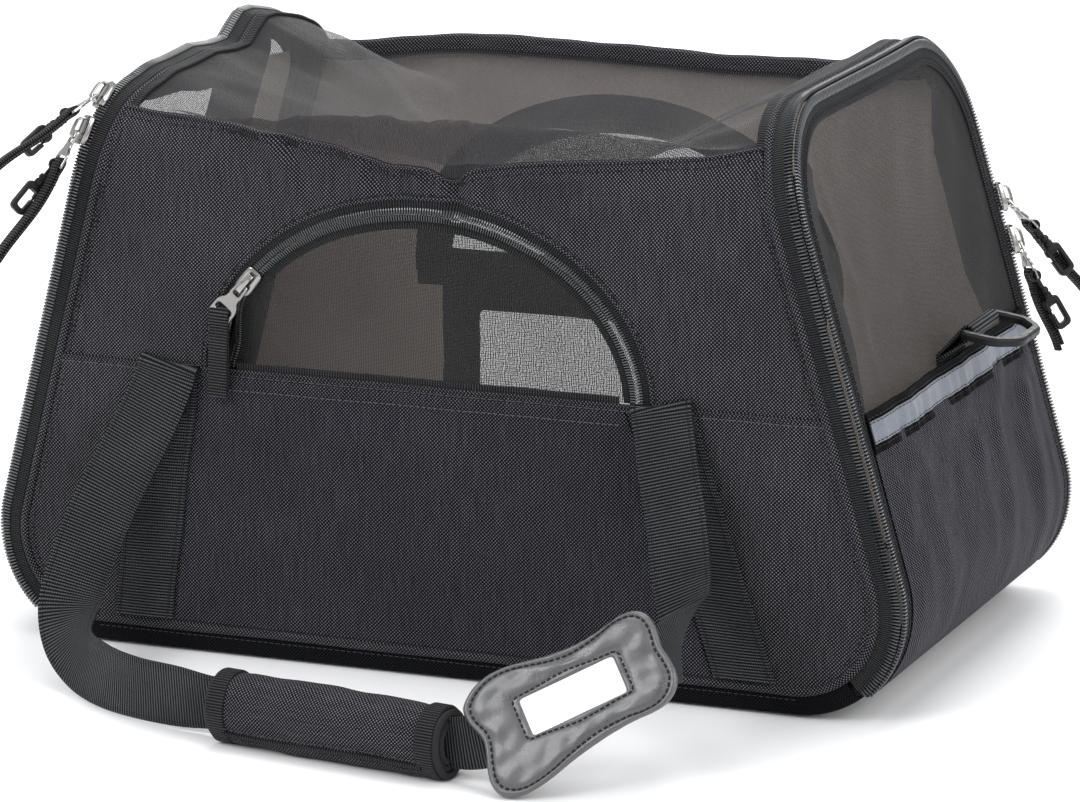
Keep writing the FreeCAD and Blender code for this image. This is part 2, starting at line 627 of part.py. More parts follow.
# ---- carry handles ----
# Stations along the webbing: centre x, y, z, width direction x, y, z, width
FRONT_TO_TAG = [
    (-140.5, -131.6, 149.0, 1, 0, -0.16, 32), (-152.3, -140.0, 123.9, 1, .05, -0.3, 32),
    (-162.0, -147.0, 102.7, 1, .1, -0.38, 32), (-170.3, -153.0, 84.0, 1, .2, -0.42, 32),
    (-176.0, -161.0, 66.0, 1, .5, -0.4, 32), (-179.0, -171.0, 49.0, 1, .9, -0.1, 31),
    (-178.0, -182.0, 36.0, 1, 1.0, .5, 31), (-171.0, -196.0, 26.0, .7, .8, 1.0, 31),
    (-158.0, -211.0, 19.0, .3, .5, 1.5, 31), (-136.0, -228.0, 17.2, .1, .25, 1.5, 31),
    (-110.0, -240.0, 17.0, 0, 0, 1, 31), (-84.0, -246.5, 17.2, 0, -.05, 1, 30),
    (-66.0, -250.0, 17.4, 0, -.1, 1, 27), (-50.0, -252.7, 17.5, 0, 0, 1, 25),
    (5.0, -260.7, 17.5, 0, 0, 1, 25), (58.0, -268.5, 17.5, 0, 0, 1, 25),
    (68.5, -270.2, 17.7, 0, 0, 1, 25), (82.0, -272.2, 19.8, -.15, .1, 1, 26),
    (93.9, -272.9, 24.0, -.48, .3, .82, 27)]
# Behind the tag: along TAG_X, height over the tag's plane, width
BEHIND_TAG = [(-30, -3.4, 28), (0, -3.4, 28), (30, -3.4, 28), (43, -5.5, 29)]
FRONT_FROM_TAG = [
    (165.0, -219.0, 60.5, -.25, .3, 1, 30), (161.8, -206.0, 59.3, 0, .2, 1, 30),
    (158.6, -194.0, 58.6, .26, .1, .95, 31), (155.0, -183.0, 59.6, .5, .05, .85, 31),
    (151.5, -174.0, 62.8, .7, 0, .65, 32), (148.0, -167.0, 69.6, .86, 0, .45, 32),
    (144.5, -161.0, 78.0, 1, 0, .32, 32), (138.1, -151.0, 100.8, 1, 0, .25, 32),
    (131.1, -142.5, 124.1, 1, 0, .25, 32), (124.0, -131.6, 149.0, 1, 0, .22, 32)]
BACK_LEFT = [
    (-133.0, 131.6, 149.0, 1, 0, .1, 32), (-146.0, 138.0, 115.0, 1, 0, .35, 32),
    (-158.0, 148.0, 80.0, 1, -.1, .35, 32), (-165.0, 161.0, 50.0, 1, -.4, .2, 32),
    (-163.0, 177.0, 31.0, 1, -.8, .5, 31), (-150.0, 195.0, 21.0, .6, -.6, 1.2, 31),
    (-128.0, 211.0, 17.4, .2, -.2, 1.4, 31), (-98.0, 225.0, 17.0, 0, 0, 1, 31),
    (-55.0, 236.0, 17.0, 0, 0, 1, 31)]
BACK_MIDDLE = (0.0, 240.0, 17.0, 0, 0, 1, 31)


def ribbon(stations):
    """Webbing as a ruled loft through rectangular sections."""
    centres = [Vector(*station[:3]) for station in stations]
    sections = []
    for i, station in enumerate(stations):
        centre = centres[i]
        ahead = centres[min(len(centres) - 1, i + 1)]
        tangent = (ahead - centres[max(0, i - 1)]).normalize()
        across = Vector(*station[3:6])
        across = (across - tangent * across.dot(tangent)).normalize()
        side = across * (station[6] / 2.0)
        thick = tangent.cross(across).normalize() * (WEB_THICKNESS / 2.0)
        corners = [centre - side - thick, centre + side - thick,
                   centre + side + thick, centre - side + thick]
        sections.append(Part.makePolygon(corners + corners[:1]))
    return Part.makeLoft(sections, True, True)


def front_handle():
    behind = [(*on_tag(x, 0, height), *TAG_Y, width) for x, height, width in BEHIND_TAG]
    export("front_handle_webbing", ribbon(FRONT_TO_TAG + behind + FRONT_FROM_TAG))


def front_grip():
    """Flattened tube with a slot for the webbing."""
    start, end = Vector(-57.0, -251.6, 17.5), Vector(68.0, -270.0, 17.5)
    length = (end - start).Length
    outline = Part.Edge(Part.Ellipse(ORIGIN, 17.4, 15.0))
    outline.rotate(ORIGIN, Y_AXIS, -90)
    grip = Part.Face(Part.Wire(outline)).extrude(Vector(length, 0, 0))
    grip = grip.cut(box(-1, length + 1, -2.6, 2.6, -14.6, 14.6))
    export("front_grip_wrap", place(grip, start, end - start, Z_AXIS))


def back_handle():
    right = [(-x, y, z, -across_x, across_y, across_z, width)
             for x, y, z, across_x, across_y, across_z, width in reversed(BACK_LEFT)]
    export("back_handle_webbing", ribbon(BACK_LEFT + [BACK_MIDDLE] + right))


# ---- build ----
os.makedirs("parts", exist_ok=True)
for build in (hoops, shell_zip, base, base_inserts, panels, front_pocket, sewn_webbing,
              top_mesh, front_door, end_doors, right_pulls, left_pulls, front_pull,
              name_tag, front_handle, front_grip, back_handle):
    build()
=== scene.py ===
# Soft-sided pet carrier: leaning zipped ends on wire hoops, a mesh top, an arched front door,
# two webbing handles and a name tag. It stands on z = 0 with its length along x; the front
# faces -y and the right end +x. Sizes are in millimetres, turned to metres in Mesh.build.
from math import acos, atan, cos, pi, radians, sin, sqrt

import bpy
import numpy as np
from mathutils import Matrix, Vector


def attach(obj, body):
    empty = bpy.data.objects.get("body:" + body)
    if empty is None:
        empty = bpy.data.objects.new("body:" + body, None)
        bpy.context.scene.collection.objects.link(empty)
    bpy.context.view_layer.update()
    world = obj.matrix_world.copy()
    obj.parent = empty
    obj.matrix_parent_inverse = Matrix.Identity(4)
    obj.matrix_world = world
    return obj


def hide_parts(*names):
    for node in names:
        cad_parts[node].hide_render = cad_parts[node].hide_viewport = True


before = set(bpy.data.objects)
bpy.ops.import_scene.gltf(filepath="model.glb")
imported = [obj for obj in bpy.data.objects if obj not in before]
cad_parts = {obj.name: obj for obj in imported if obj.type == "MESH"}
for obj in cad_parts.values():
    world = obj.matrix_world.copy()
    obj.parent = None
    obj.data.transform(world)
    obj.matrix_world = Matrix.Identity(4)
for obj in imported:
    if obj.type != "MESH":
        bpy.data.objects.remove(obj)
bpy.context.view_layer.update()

MM = 0.001

# ---- driving dimensions ---------------------------------------------------------------
HALF_LENGTH, HALF_DEPTH, HEIGHT = 262.0, 127.1, 298.2
LEAN = 0.274                            # how far the ends lean in, per unit of height
R_BOTTOM, R_TOP = 56.0, 60.0            # bend from base to end; hoop's top corners
LEAN_ANGLE = atan(LEAN)
COS, SIN = cos(LEAN_ANGLE), sin(LEAN_ANGLE)
FLAT_X = HALF_LENGTH - R_BOTTOM * (1 + SIN) / COS    # half length of the flat base
CORNER_RISE = R_TOP * COS
CORNER_Z = HEIGHT - CORNER_RISE         # centres of the hoop's top corners
CORNER_Y = HALF_DEPTH - R_TOP
ARCH_X, ARCH_Z, ARCH_A, ARCH_B = -3.0, 149.0, 113.0, 88.0    # door arch: centre, half axes
DOOR_SLIDER_Z = 197.0
# "Rise" is a length up the end's profile from where the base starts to bend.
BEND_RISE = R_BOTTOM * (pi / 2 + LEAN_ANGLE)
SLOPE_SHIFT = BEND_RISE - (R_BOTTOM * (1 + SIN)) / COS
FOOT_RISE = R_BOTTOM * radians(40)      # foot of the zip
CORNER_RISE_UP = CORNER_Z / COS + SLOPE_SHIFT
LEG, ARC = CORNER_RISE_UP - FOOT_RISE, R_TOP * pi / 2
HOOP_LENGTH = 2 * (LEG + ARC) + 2 * CORNER_Y
FRONT, BACK = -1, 1                     # signs of y


# ---- numbers and curves ---------------------------------------------------------------
def ramp(start, end, x):
    """Smooth step, 0 at start and 1 at end."""
    t = np.clip((x - start) / (end - start), 0, 1)
    return t * t * (3 - 2 * t)


def lookup(x, table):
    return np.interp(x, *np.array(table, float).T)


def soft_lookup(x, table, width):
    """Table value averaged over five places within width either way."""
    return sum(lookup(x + step * width, table) * .2 for step in (-1, -.5, 0, .5, 1))


def points(*coords):
    return np.stack(np.broadcast_arrays(*coords), -1)


def unit(v):
    v = np.asarray(v, float)
    return v / np.maximum(np.linalg.norm(v, axis=-1, keepdims=True), 1e-12)


def run(path):
    """Length along a path at each of its points."""
    return np.concatenate([[0], np.cumsum(np.linalg.norm(np.diff(path, axis=0), axis=1))])


def resample(path, step):
    path = np.asarray(path, float)
    length = run(path)
    count = max(2, int(round(length[-1] / step)) + 1)
    places = np.linspace(0, length[-1], count)
    return np.stack([np.interp(places, length, column) for column in path.T], -1)


def circle(radius, sides):
    a = np.arange(sides) * 2 * pi / sides
    return np.stack([radius * np.cos(a), radius * np.sin(a)], -1)


def rounded_rect(half_a, half_b, radius, steps):
    outline = []
    a, b = half_a - radius, half_b - radius
    for quarter, (x, y) in enumerate(((a, b), (-a, b), (-a, -b), (a, -b))):
        for i in range(steps + 1):
            t = (quarter + i / steps) * pi / 2
            outline.append((x + radius * cos(t), y + radius * sin(t)))
    return np.array(outline)


def round_corners(corners, radius, steps=6):
    """Closed outline with each corner replaced by a quadratic curve."""
    corners = np.asarray(corners, float)
    radii = np.broadcast_to(radius, len(corners))
    outline = []
    for i, corner in enumerate(corners):
        before, after = corners[i - 1], corners[(i + 1) % len(corners)]
        reach = min(radii[i], 0.45 * np.linalg.norm(before - corner),
                    0.45 * np.linalg.norm(after - corner))
        start, end = corner + unit(before - corner) * reach, corner + unit(after - corner) * reach
        for t in np.linspace(0, 1, steps):
            outline.append((1 - t) ** 2 * start + 2 * t * (1 - t) * corner + t ** 2 * end)
    return np.array(outline)


def catmull(knots, steps):
    """Centripetal Catmull-Rom curve; distances use the first three columns."""
    knots = np.asarray(knots, float)
    ctrl = np.concatenate([[2 * knots[0] - knots[1]], knots, [2 * knots[-1] - knots[-2]]])
    gaps = np.sqrt(np.linalg.norm(np.diff(ctrl[:, :3], axis=0), axis=1))

    def blend(t, start, end, first, second):
        return (end - t) / (end - start) * first + (t - start) / (end - start) * second

    curve = []
    for i in range(1, len(ctrl) - 2):
        t0, t1, t2, t3 = run(np.cumsum([0, *gaps[i - 1:i + 2]])[:, None])
        for t in np.linspace(t1, t2, steps, endpoint=False):
            a1 = blend(t, t0, t1, ctrl[i - 1], ctrl[i])
            a2 = blend(t, t1, t2, ctrl[i], ctrl[i + 1])
            a3 = blend(t, t2, t3, ctrl[i + 1], ctrl[i + 2])
            curve.append(blend(t, t1, t2, blend(t, t0, t2, a1, a2), blend(t, t1, t3, a2, a3)))
    curve.append(knots[-1])
    return np.array(curve)


def folds(x, z, table):
    """Soft ridges; each row is x0, z0, x1, z1, half width, height."""
    total = 0
    for x0, z0, x1, z1, width, height in table:
        dx, dz = x1 - x0, z1 - z0
        t = ((x - x0) * dx + (z - z0) * dz) / (dx * dx + dz * dz)
        on = np.clip(t, 0, 1)
        away = (x - x0 - on * dx) ** 2 + (z - z0 - on * dz) ** 2
        fade = 0.55 + 0.45 * np.cos(np.clip(t - 0.35, -1, 1) * pi / 1.4)
        total = total + height * np.exp(-away / (width * width)) * fade
    return total


def ripple(x, z, seed, height, scale):
    """Nine crossing waves in random directions."""
    rng = np.random.default_rng(seed)
    total = 0
    for _ in range(9):
        a = rng.uniform(0, 2 * pi)
        wave = 2 * pi / (scale * rng.uniform(0.55, 1.9))
        total = total + np.sin((x * cos(a) + z * sin(a)) * wave + rng.uniform(0, 2 * pi))
    return total * height / 3.0


class Local:
    """Axes at a place, from its x direction and roughly its z direction."""

    def __init__(self, origin, x_dir, z_dir):
        self.origin = np.asarray(origin, float)
        self.x = unit(x_dir)
        z_dir = np.asarray(z_dir, float)
        self.z = unit(z_dir - self.x * (z_dir @ self.x))
        self.y = np.cross(self.z, self.x)

    def __call__(self, place):
        place = np.asarray(place, float)
        return (self.origin + place[..., 0:1] * self.x + place[..., 1:2] * self.y
                + place[..., 2:3] * self.z)


# ---- shape of the bag -----------------------------------------------------------------
# y, drop of the left hoop's top
SLACK = [(-127, 0), (-108, -3), (-87, -7), (-60, -7), (-31, -5.5), (-8, -8.5), (11, -9.5),
         (24, -3), (33, 1), (45, 0.5), (58, -2.5), (80, -8), (105, -11), (127, -7)]


def slack(place):
    """Let the left hoop's top sag and wave, and the right hoop wander a little."""
    place = np.array(place, float)
    left = ramp(232, 288, place[..., 2]) * ramp(-75, -165, place[..., 0])
    place[..., 2] += lookup(place[..., 1], SLACK) * left
    place[..., 0] += -1.2 * left * np.sin(place[..., 1] / 23.0)
    right = ramp(150, 285, place[..., 2]) * ramp(90, 165, place[..., 0])
    place[..., 0] += 0.7 * right * np.sin(place[..., 1] / 31.0 + 0.8)
    return place


def end_point(rise, y, depth, side=1):
    """Point on an end face: rise up its profile, y across, depth inwards."""
    a = -pi / 2 + rise / R_BOTTOM
    slope = rise - SLOPE_SHIFT
    low = rise < BEND_RISE
    x = np.where(low, FLAT_X + (R_BOTTOM - depth) * np.cos(a),
                 HALF_LENGTH - slope * SIN - depth * COS)
    z = np.where(low, R_BOTTOM + (R_BOTTOM - depth) * np.sin(a), slope * COS - depth * SIN)
    return slack(points(side * x, y, z))


def hoop_point(along, depth, inset, side=1):
    """Point by a hoop: along it from the front foot, depth in from the end face,
    inset from the front, top or rear face."""
    rear = along > HOOP_LENGTH / 2
    near = np.where(rear, HOOP_LENGTH - along, along)
    turn = np.clip((near - LEG) / R_TOP, 0, pi / 2)
    rise = np.where(near < LEG, FOOT_RISE + near, CORNER_RISE_UP + (R_TOP - inset) * np.sin(turn))
    top_y = CORNER_Y + (R_TOP - inset) * np.cos(turn) - np.maximum(near - LEG - ARC, 0)
    y = np.where(near < LEG, HALF_DEPTH - inset, top_y)
    return end_point(rise, np.where(rear, 1.0, -1.0) * y, depth, side)


def hoop_frame(along, depth, inset, side):
    """Points by a hoop, with the directions of growing depth and of growing inset."""
    deeper = (hoop_point(along, depth + 0.5, inset, side)
              - hoop_point(along, depth - 0.5, inset, side))
    inner = (hoop_point(along, depth, inset + 0.5, side)
             - hoop_point(along, depth, inset - 0.5, side))
    return hoop_point(along, depth, inset, side), unit(deeper), unit(inner)


def slope_at(z, y, side=1):
    return np.array([side * (HALF_LENGTH - z * LEAN), y, z])


def end_x(z, depth):
    """x of the right end's profile at height z, depth inside it."""
    r = R_BOTTOM - depth
    low = FLAT_X + np.sqrt(np.maximum(r * r - (R_BOTTOM - z) ** 2, 0))
    return np.where(z < R_BOTTOM + r * SIN, low, (HALF_LENGTH * COS - depth - z * SIN) / COS)


def hoop_y(z):
    share = np.clip(1 - ((z - CORNER_Z) / CORNER_RISE) ** 2, 0, 1)
    return np.where(z < CORNER_Z, HALF_DEPTH, CORNER_Y + R_TOP * np.sqrt(share))


# x0, z0, x1, z1, half width, height
FRONT_FOLDS = [
    (-92, 274, -70, 244, 5, 3.2), (-80, 272, -60, 248, 3.2, -2.6), (-70, 262, -52, 236, 4, 2.2),
    (-46, 278, -36, 248, 4.5, 2.6), (-36, 276, -28, 252, 4.5, -1.8), (-8, 272, -6, 247, 4, 2.6),
    (9, 268, 15, 240, 5, -4.2), (20, 262, 26, 240, 4, 1.6), (31, 139, 34, 92, 7, -1),
    (42, 138, 44, 60, 10, 0.8), (24, 256, 92, 262, 5.5, 2.2), (24, 249, 84, 252, 6, -1.4),
    (-160, 264, -92, 247, 8, 2.2), (-150, 250, -90, 236, 10, -1.4), (70, 247, 152, 262, 9, 2.2),
    (90, 238, 160, 250, 9, -1.6), (152, 262, 165, 205, 12, 1.6), (-155, 232, -126, 186, 12, 1.6),
    (-70, 260, -22, 240, 6, 1.4), (120, 232, 150, 170, 16, 1.2), (-190, 120, -170, 60, 14, 1.2),
    (186, 130, 170, 50, 14, 1.2), (-60, 130, -40, 40, 22, 0.9), (80, 120, 100, 40, 22, 0.9),
    (0, 60, 10, 26, 20, 0.8)]


def face_y(x, z, blend, dip, belly, belly_height, relief):
    """Distance of a long face from the middle: the hoop's shape at its ends, cloth between."""
    edge = end_x(z, 14.8) - np.abs(x)
    by_hoop = 1 - ramp(0, blend, edge)
    middle = HALF_DEPTH - dip * ramp(222, 272, z)
    swell = belly * np.sin(pi * np.clip((z - 13) / belly_height, 0, 1)) * ramp(0, 60, edge)
    relief = relief * ramp(0, 22, edge) * ramp(13, 40, z)
    return by_hoop * hoop_y(z) + (1 - by_hoop) * middle + swell + relief


def front_y(x, z):
    relief = folds(x, z, FRONT_FOLDS) + ripple(x, z, seed=3, height=0.45, scale=60)
    return -face_y(x, z, blend=78, dip=3.4, belly=2.2, belly_height=235, relief=relief)


def back_y(x, z):
    relief = ripple(x, z, seed=11, height=0.7, scale=75)
    return face_y(x, z, blend=70, dip=1.5, belly=1.8, belly_height=240, relief=relief)


def face_point(side, x, z, off=0.0):
    """Point on the front or back cloth, lifted outwards by off."""
    y = front_y(x, z) if side == FRONT else back_y(x, z)
    return slack(points(x, y + side * off, z))


# x, z of the front cloth's top edge, of the mesh's ridge behind it, of the back's top edge
SEAM = [(-182, 281), (-153, 277), (-125, 276), (-106, 274.5), (-70, 269.5), (-48, 266.5),
        (-40, 265), (-30, 260.5), (-19, 259), (-4, 260), (5, 256), (11, 251), (21, 260),
        (48, 265), (90, 269), (142, 273), (169, 278), (182, 281)]
RIDGE = [(-182, 280), (-164, 278), (-120, 276), (-75, 279), (-43, 282), (-9, 284), (40, 284.5),
         (64, 283), (114, 280), (155, 275), (182, 280)]
BACK_EDGE = [(-194, 274), (-150, 272), (-60, 272), (0, 271), (60, 269), (120, 270), (160, 275),
             (190, 277)]


def seam_z(x):
    return soft_lookup(x, SEAM, 4.0)


def back_edge_z(x):
    return soft_lookup(x, BACK_EDGE, 8.0)


# ---- mesh building --------------------------------------------------------------------
def grid(rows, cols, close=False, close_rows=False, flip=False):
    """Quads over a grid of vertices; close joins the last column to the first."""
    i, j = np.meshgrid(np.arange(rows if close_rows else rows - 1),
                       np.arange(cols if close else cols - 1), indexing="ij")
    below, right = (i + 1) % rows * cols, (j + 1) % cols
    quads = np.stack([i * cols + j, below + j, below + right, i * cols + right], -1)
    quads = quads.reshape(-1, 4)
    return quads[:, ::-1] if flip else quads


def rings_along(path, side, normal, outline, scale=1.0):
    """Copies of an outline of (side, normal) places, one at each point of the path."""
    spread = np.asarray(outline) * np.broadcast_to(scale, len(path))[:, None, None]
    return path[:, None] + side[:, None] * spread[..., :1] + normal[:, None] * spread[..., 1:]


STITCH_FACES = np.concatenate([grid(4, 6, close=True, flip=True), [
    [0, 1, 2, 3], [3, 4, 5, 0], [21, 20, 19, 18], [18, 23, 22, 21]]])
# place along the stitch, share of the radius, drop in radii
STITCH_RINGS = [(-.5, .35, -.25), (-.3, 1, 0), (.3, 1, 0), (.5, .35, -.25)]
TOOTH_FACES = np.concatenate([grid(5, 6, close=True), [
    [3, 2, 1, 0], [0, 5, 4, 3], [24, 25, 26, 27], [27, 28, 29, 24]]])
# place across the tooth, share of the section
TOOTH_RINGS = [(-1, .45), (-.72, .9), (.1, 1), (.7, 1.12), (1, .6)]


class Mesh:
    """Gathers the geometry of one object."""

    def __init__(self):
        self.verts, self.uvs, self.faces, self.slots, self.count = [], [], [], [], 0

    def add(self, verts, faces, uv=None, slot=0):
        verts = np.asarray(verts, float).reshape(-1, 3)
        self.verts.append(verts)
        self.uvs.append(np.zeros((len(verts), 2)) if uv is None else np.reshape(uv, (-1, 2)))
        self.faces.append(faces + self.count)
        self.slots.append(np.full(len(faces), slot))
        self.count += len(verts)

    def sheet(self, surface, thick, uv, out, inner=1, keep=None):
        """Cloth of real thickness; out says which way is outside, keep picks its quads."""
        rows, cols = surface.shape[:2]
        normal = unit(np.cross(np.gradient(surface, axis=0), np.gradient(surface, axis=1)))
        sign = np.sign((normal * np.asarray(out, float)).sum(-1).mean())
        lining = surface - normal * sign * thick
        quads = grid(rows, cols, flip=sign < 0)
        if keep is not None:
            quads = quads[keep]
        self.add(surface, quads, uv)
        self.add(lining, quads[:, ::-1], uv, inner)
        if keep is None:
            index = np.arange(rows * cols).reshape(rows, cols)
            rim = np.concatenate([index[0], index[1:, -1], index[-1, -2::-1], index[-2:0:-1, 0]])
            count = len(rim)
            i = np.arange(count)
            quads = np.stack([i, (i + 1) % count, (i + 1) % count + count, i + count], -1)
            rim_uv = np.reshape(uv, (-1, 2))[rim]
            self.add(np.concatenate([surface.reshape(-1, 3)[rim], lining.reshape(-1, 3)[rim]]),
                     quads if sign > 0 else quads[:, ::-1], np.concatenate([rim_uv, rim_uv]))

    def tube(self, rings, uv=None, slot=0, flip=False, flip_caps=False):
        """Skin over a row of rings, with a cap at each end."""
        rows, cols = rings.shape[:2]
        self.add(rings, grid(rows, cols, close=True, flip=flip), uv, slot)
        for i in (0, -1):
            cap = np.arange(cols)[None]
            if flip_caps == (i == 0):
                cap = cap[:, ::-1]
            self.add(rings[i], cap, None if uv is None else uv[i], slot)

    def sweep(self, path, side, normal, outline, slot=0, closed=False, scale=1.0):
        rings = rings_along(path, side, normal, outline, scale)
        uv = points(run(outline)[None], run(path)[:, None])
        if closed:
            self.add(rings, grid(len(path), len(outline), True, True), uv, slot)
        else:
            self.tube(rings, uv, slot, flip_caps=True)

    def cord(self, path, up, outline, slot=0):
        """Sweep whose normal is steered by up."""
        along = unit(np.gradient(path, axis=0))
        side = unit(np.cross(along, np.broadcast_to(up, path.shape)))
        self.sweep(path, side, np.cross(side, along), outline, slot)

    def band(self, path, side, outline, slot=0, closed=False):
        """Sweep that keeps one side direction all along."""
        if closed:
            along = unit(np.roll(path, -1, 0) - np.roll(path, 1, 0))
        else:
            along = unit(np.gradient(path, axis=0))
        side = np.tile(np.asarray(side, float), (len(path), 1))
        self.sweep(path, side, np.cross(side, along), outline, slot, closed)

    def repeat(self, copies, faces, slot):
        """The same faces on each row of vertices."""
        count, size = copies.shape[:2]
        shifted = faces[None] + (np.arange(count) * size)[:, None, None]
        self.add(copies, shifted.reshape(-1, 4), None, slot)

    def stitch(self, path, out, slot=0, radius=0.33, pitch=3.3, length=2.5, lift=0.12):
        """A row of thread stitches on cloth whose outward direction is out."""
        both = np.concatenate([path, np.broadcast_to(out, path.shape)], -1)
        spaced = resample(both, pitch)
        centre, out = spaced[:, :3], unit(spaced[:, 3:])
        along = unit(np.gradient(centre, axis=0))
        out = unit(out - along * (along * out).sum(-1, keepdims=True))
        across = np.cross(along, out)
        verts = []
        for end, share, drop in STITCH_RINGS:
            for corner in range(6):
                a = corner * pi / 3
                height = radius * share * sin(a) + lift + drop * radius
                verts.append(centre + along * (end * length)
                             + across * (radius * share * cos(a)) + out * height)
        self.repeat(np.stack(verts, 1), STITCH_FACES, slot)

    def teeth(self, place, numbers, across, along, high, slot=1):
        """Coil teeth; place(number, along, across, up) gives a point of one tooth."""
        tooth = []
        for end, share in TOOTH_RINGS:
            for corner in range(6):
                a = corner * pi / 3
                tooth.append((cos(a) * along * share, end * across, sin(a) * high * share))
        tooth = np.array(tooth)
        copies = place(numbers[:, None], tooth[:, 0], tooth[:, 1], tooth[:, 2])
        self.repeat(copies, TOOTH_FACES, slot)

    def build(self, name, body, part, frame_slot, *materials, angle=40):
        """Make the object; edges sharper than angle degrees stay sharp (0: none do)."""
        data = bpy.data.meshes.new(name)
        verts, uvs = np.concatenate(self.verts) * MM, np.concatenate(self.uvs)
        data.vertices.add(len(verts))
        data.vertices.foreach_set("co", verts.astype(np.float32).ravel())
        loops = np.concatenate([f.ravel() for f in self.faces])
        sizes = np.concatenate([np.full(len(f), f.shape[1]) for f in self.faces])
        starts = np.concatenate([[0], np.cumsum(sizes)[:-1]])
        data.loops.add(len(loops))
        data.loops.foreach_set("vertex_index", loops.astype(np.int32))
        data.polygons.add(len(sizes))
        data.polygons.foreach_set("loop_start", starts.astype(np.int32))
        slots = np.concatenate(self.slots).astype(np.int32)
        data.polygons.foreach_set("material_index", slots)
        data.update(calc_edges=True)
        data.validate()
        # validate may drop degenerate faces, and the UVs would then no longer line up
        if len(data.loops) == len(loops):
            layer = data.uv_layers.new(name="UVMap")
            layer.data.foreach_set("uv", uvs[loops].astype(np.float32).ravel())
        data.polygons.foreach_set("use_smooth", np.full(len(data.polygons), True))
        for material in materials:
            data.materials.append(material)
        obj = bpy.data.objects.new(name, data)
        bpy.context.scene.collection.objects.link(obj)
        if angle:
            data.set_sharp_from_angle(angle=radians(angle))
        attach(obj, body)
        if part:
            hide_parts(part)
        return obj


# ---- materials ------------------------------------------------------------------------
class Material:
    """A node material in the making."""

    def __init__(self, name):
        self.material = bpy.data.materials.new(name)
        self.material.use_nodes = True
        self.tree = self.material.node_tree
        self.tree.nodes.clear()
        self.output = self.node("OutputMaterial")
        coords = self.node("TexCoord")
        self.uv, self.object = coords.outputs["UV"], coords.outputs["Object"]

    def node(self, kind, *inputs, **named):
        """Add a node: inputs by place or Capital_Name, properties by lower-case name."""
        node = self.tree.nodes.new("ShaderNode" + kind)
        sockets = dict(enumerate(inputs))
        for key, value in named.items():
            if key[0].islower():
                setattr(node, key, value)
            else:
                sockets[key.replace("_", " ")] = value
        for key, value in sockets.items():
            self.put(node.inputs[key], value)
        return node

    def put(self, socket, value):
        if isinstance(value, bpy.types.Node):
            value = value.outputs[0]
        if isinstance(value, bpy.types.NodeSocket):
            self.tree.links.new(value, socket)
        elif isinstance(value, tuple) and len(value) == 3 and socket.type == "RGBA":
            socket.default_value = (*value, 1.0)
        else:
            socket.default_value = value

    def math(self, operation, a, b=0.0, clamp=False):
        return self.node("Math", a, b, operation=operation, use_clamp=clamp).outputs[0]

    def add(self, a, b):
        return self.math("ADD", a, b)

    def mul(self, a, b, clamp=False):
        return self.math("MULTIPLY", a, b, clamp)

    def mix(self, factor, a, b):
        node = self.node("Mix", factor, data_type="RGBA")
        self.put(node.inputs[6], a)
        self.put(node.inputs[7], b)
        return node.outputs[2]

    def noise(self, vector, scale, detail=3.0, rough=0.55):
        return self.node("TexNoise", Vector=vector, Scale=scale, Detail=detail,
                         Roughness=rough).outputs[0]

    def remap(self, value, low, high, to_low=0.0, to_high=1.0):
        return self.node("MapRange", value, low, high, to_low, to_high, clamp=True).outputs[0]

    def stretched_noise(self, vector, scale):
        mapped = self.node("Mapping", vector, Scale=scale)
        return self.noise(mapped, scale=1.0, detail=2.0, rough=0.5)

    def across_along(self):
        return self.node("SeparateXYZ", self.uv).outputs[:2]

    def wave(self, value, pitch):
        return self.math("SINE", self.mul(value, 2 * pi / pitch))

    def bump(self, height, strength, distance):
        return self.node("Bump", Strength=strength, Distance=distance, Height=height).outputs[0]

    def bsdf(self, **inputs):
        return self.node("BsdfPrincipled", **inputs)

    def finish(self, shader):
        self.put(self.output.inputs[0], shader)
        return self.material


def scaled(colour, factor, lift=0.0):
    return tuple(min(1.0, c * factor + lift) for c in colour)


def oxford(name, dark, light, rough=0.62, sheen=0.04):
    """Coarse plain-weave cloth."""
    mat = Material(name)
    u, v = mat.across_along()
    u = mat.add(u, mat.mul(mat.noise(mat.uv, scale=0.22, detail=2.0), 0.9))
    weave = mat.mul(mat.wave(u, pitch=1.9), mat.wave(v, pitch=1.9))
    fine = mat.noise(mat.uv, scale=2.4, detail=2.0, rough=0.7)
    patches = mat.noise(mat.uv, scale=0.012)
    slub = mat.stretched_noise(mat.uv, scale=(0.9, 0.05, 1.0))
    height = mat.add(mat.mul(weave, 0.5), mat.mul(fine, 0.45))
    tone = mat.remap(mat.add(height, mat.mul(slub, 0.25)), low=0.16, high=0.86)
    shade = mat.remap(patches, low=0.25, high=0.75, to_low=0.8, to_high=1.15)
    tone = mat.mul(mat.math("POWER", tone, 2.5), shade, clamp=True)
    return mat.finish(mat.bsdf(
        Base_Color=mat.mix(tone, dark, light),
        Roughness=mat.remap(fine, low=0.2, high=0.8, to_low=rough - 0.1, to_high=rough + 0.12),
        Normal=mat.bump(height, strength=1.0, distance=0.00035),
        Sheen_Weight=sheen, Sheen_Roughness=0.4, Sheen_Tint=(0.62, 0.62, 0.7),
        Specular_IOR_Level=mat.remap(tone, low=0.0, high=1.0, to_low=0.05, to_high=0.3)))


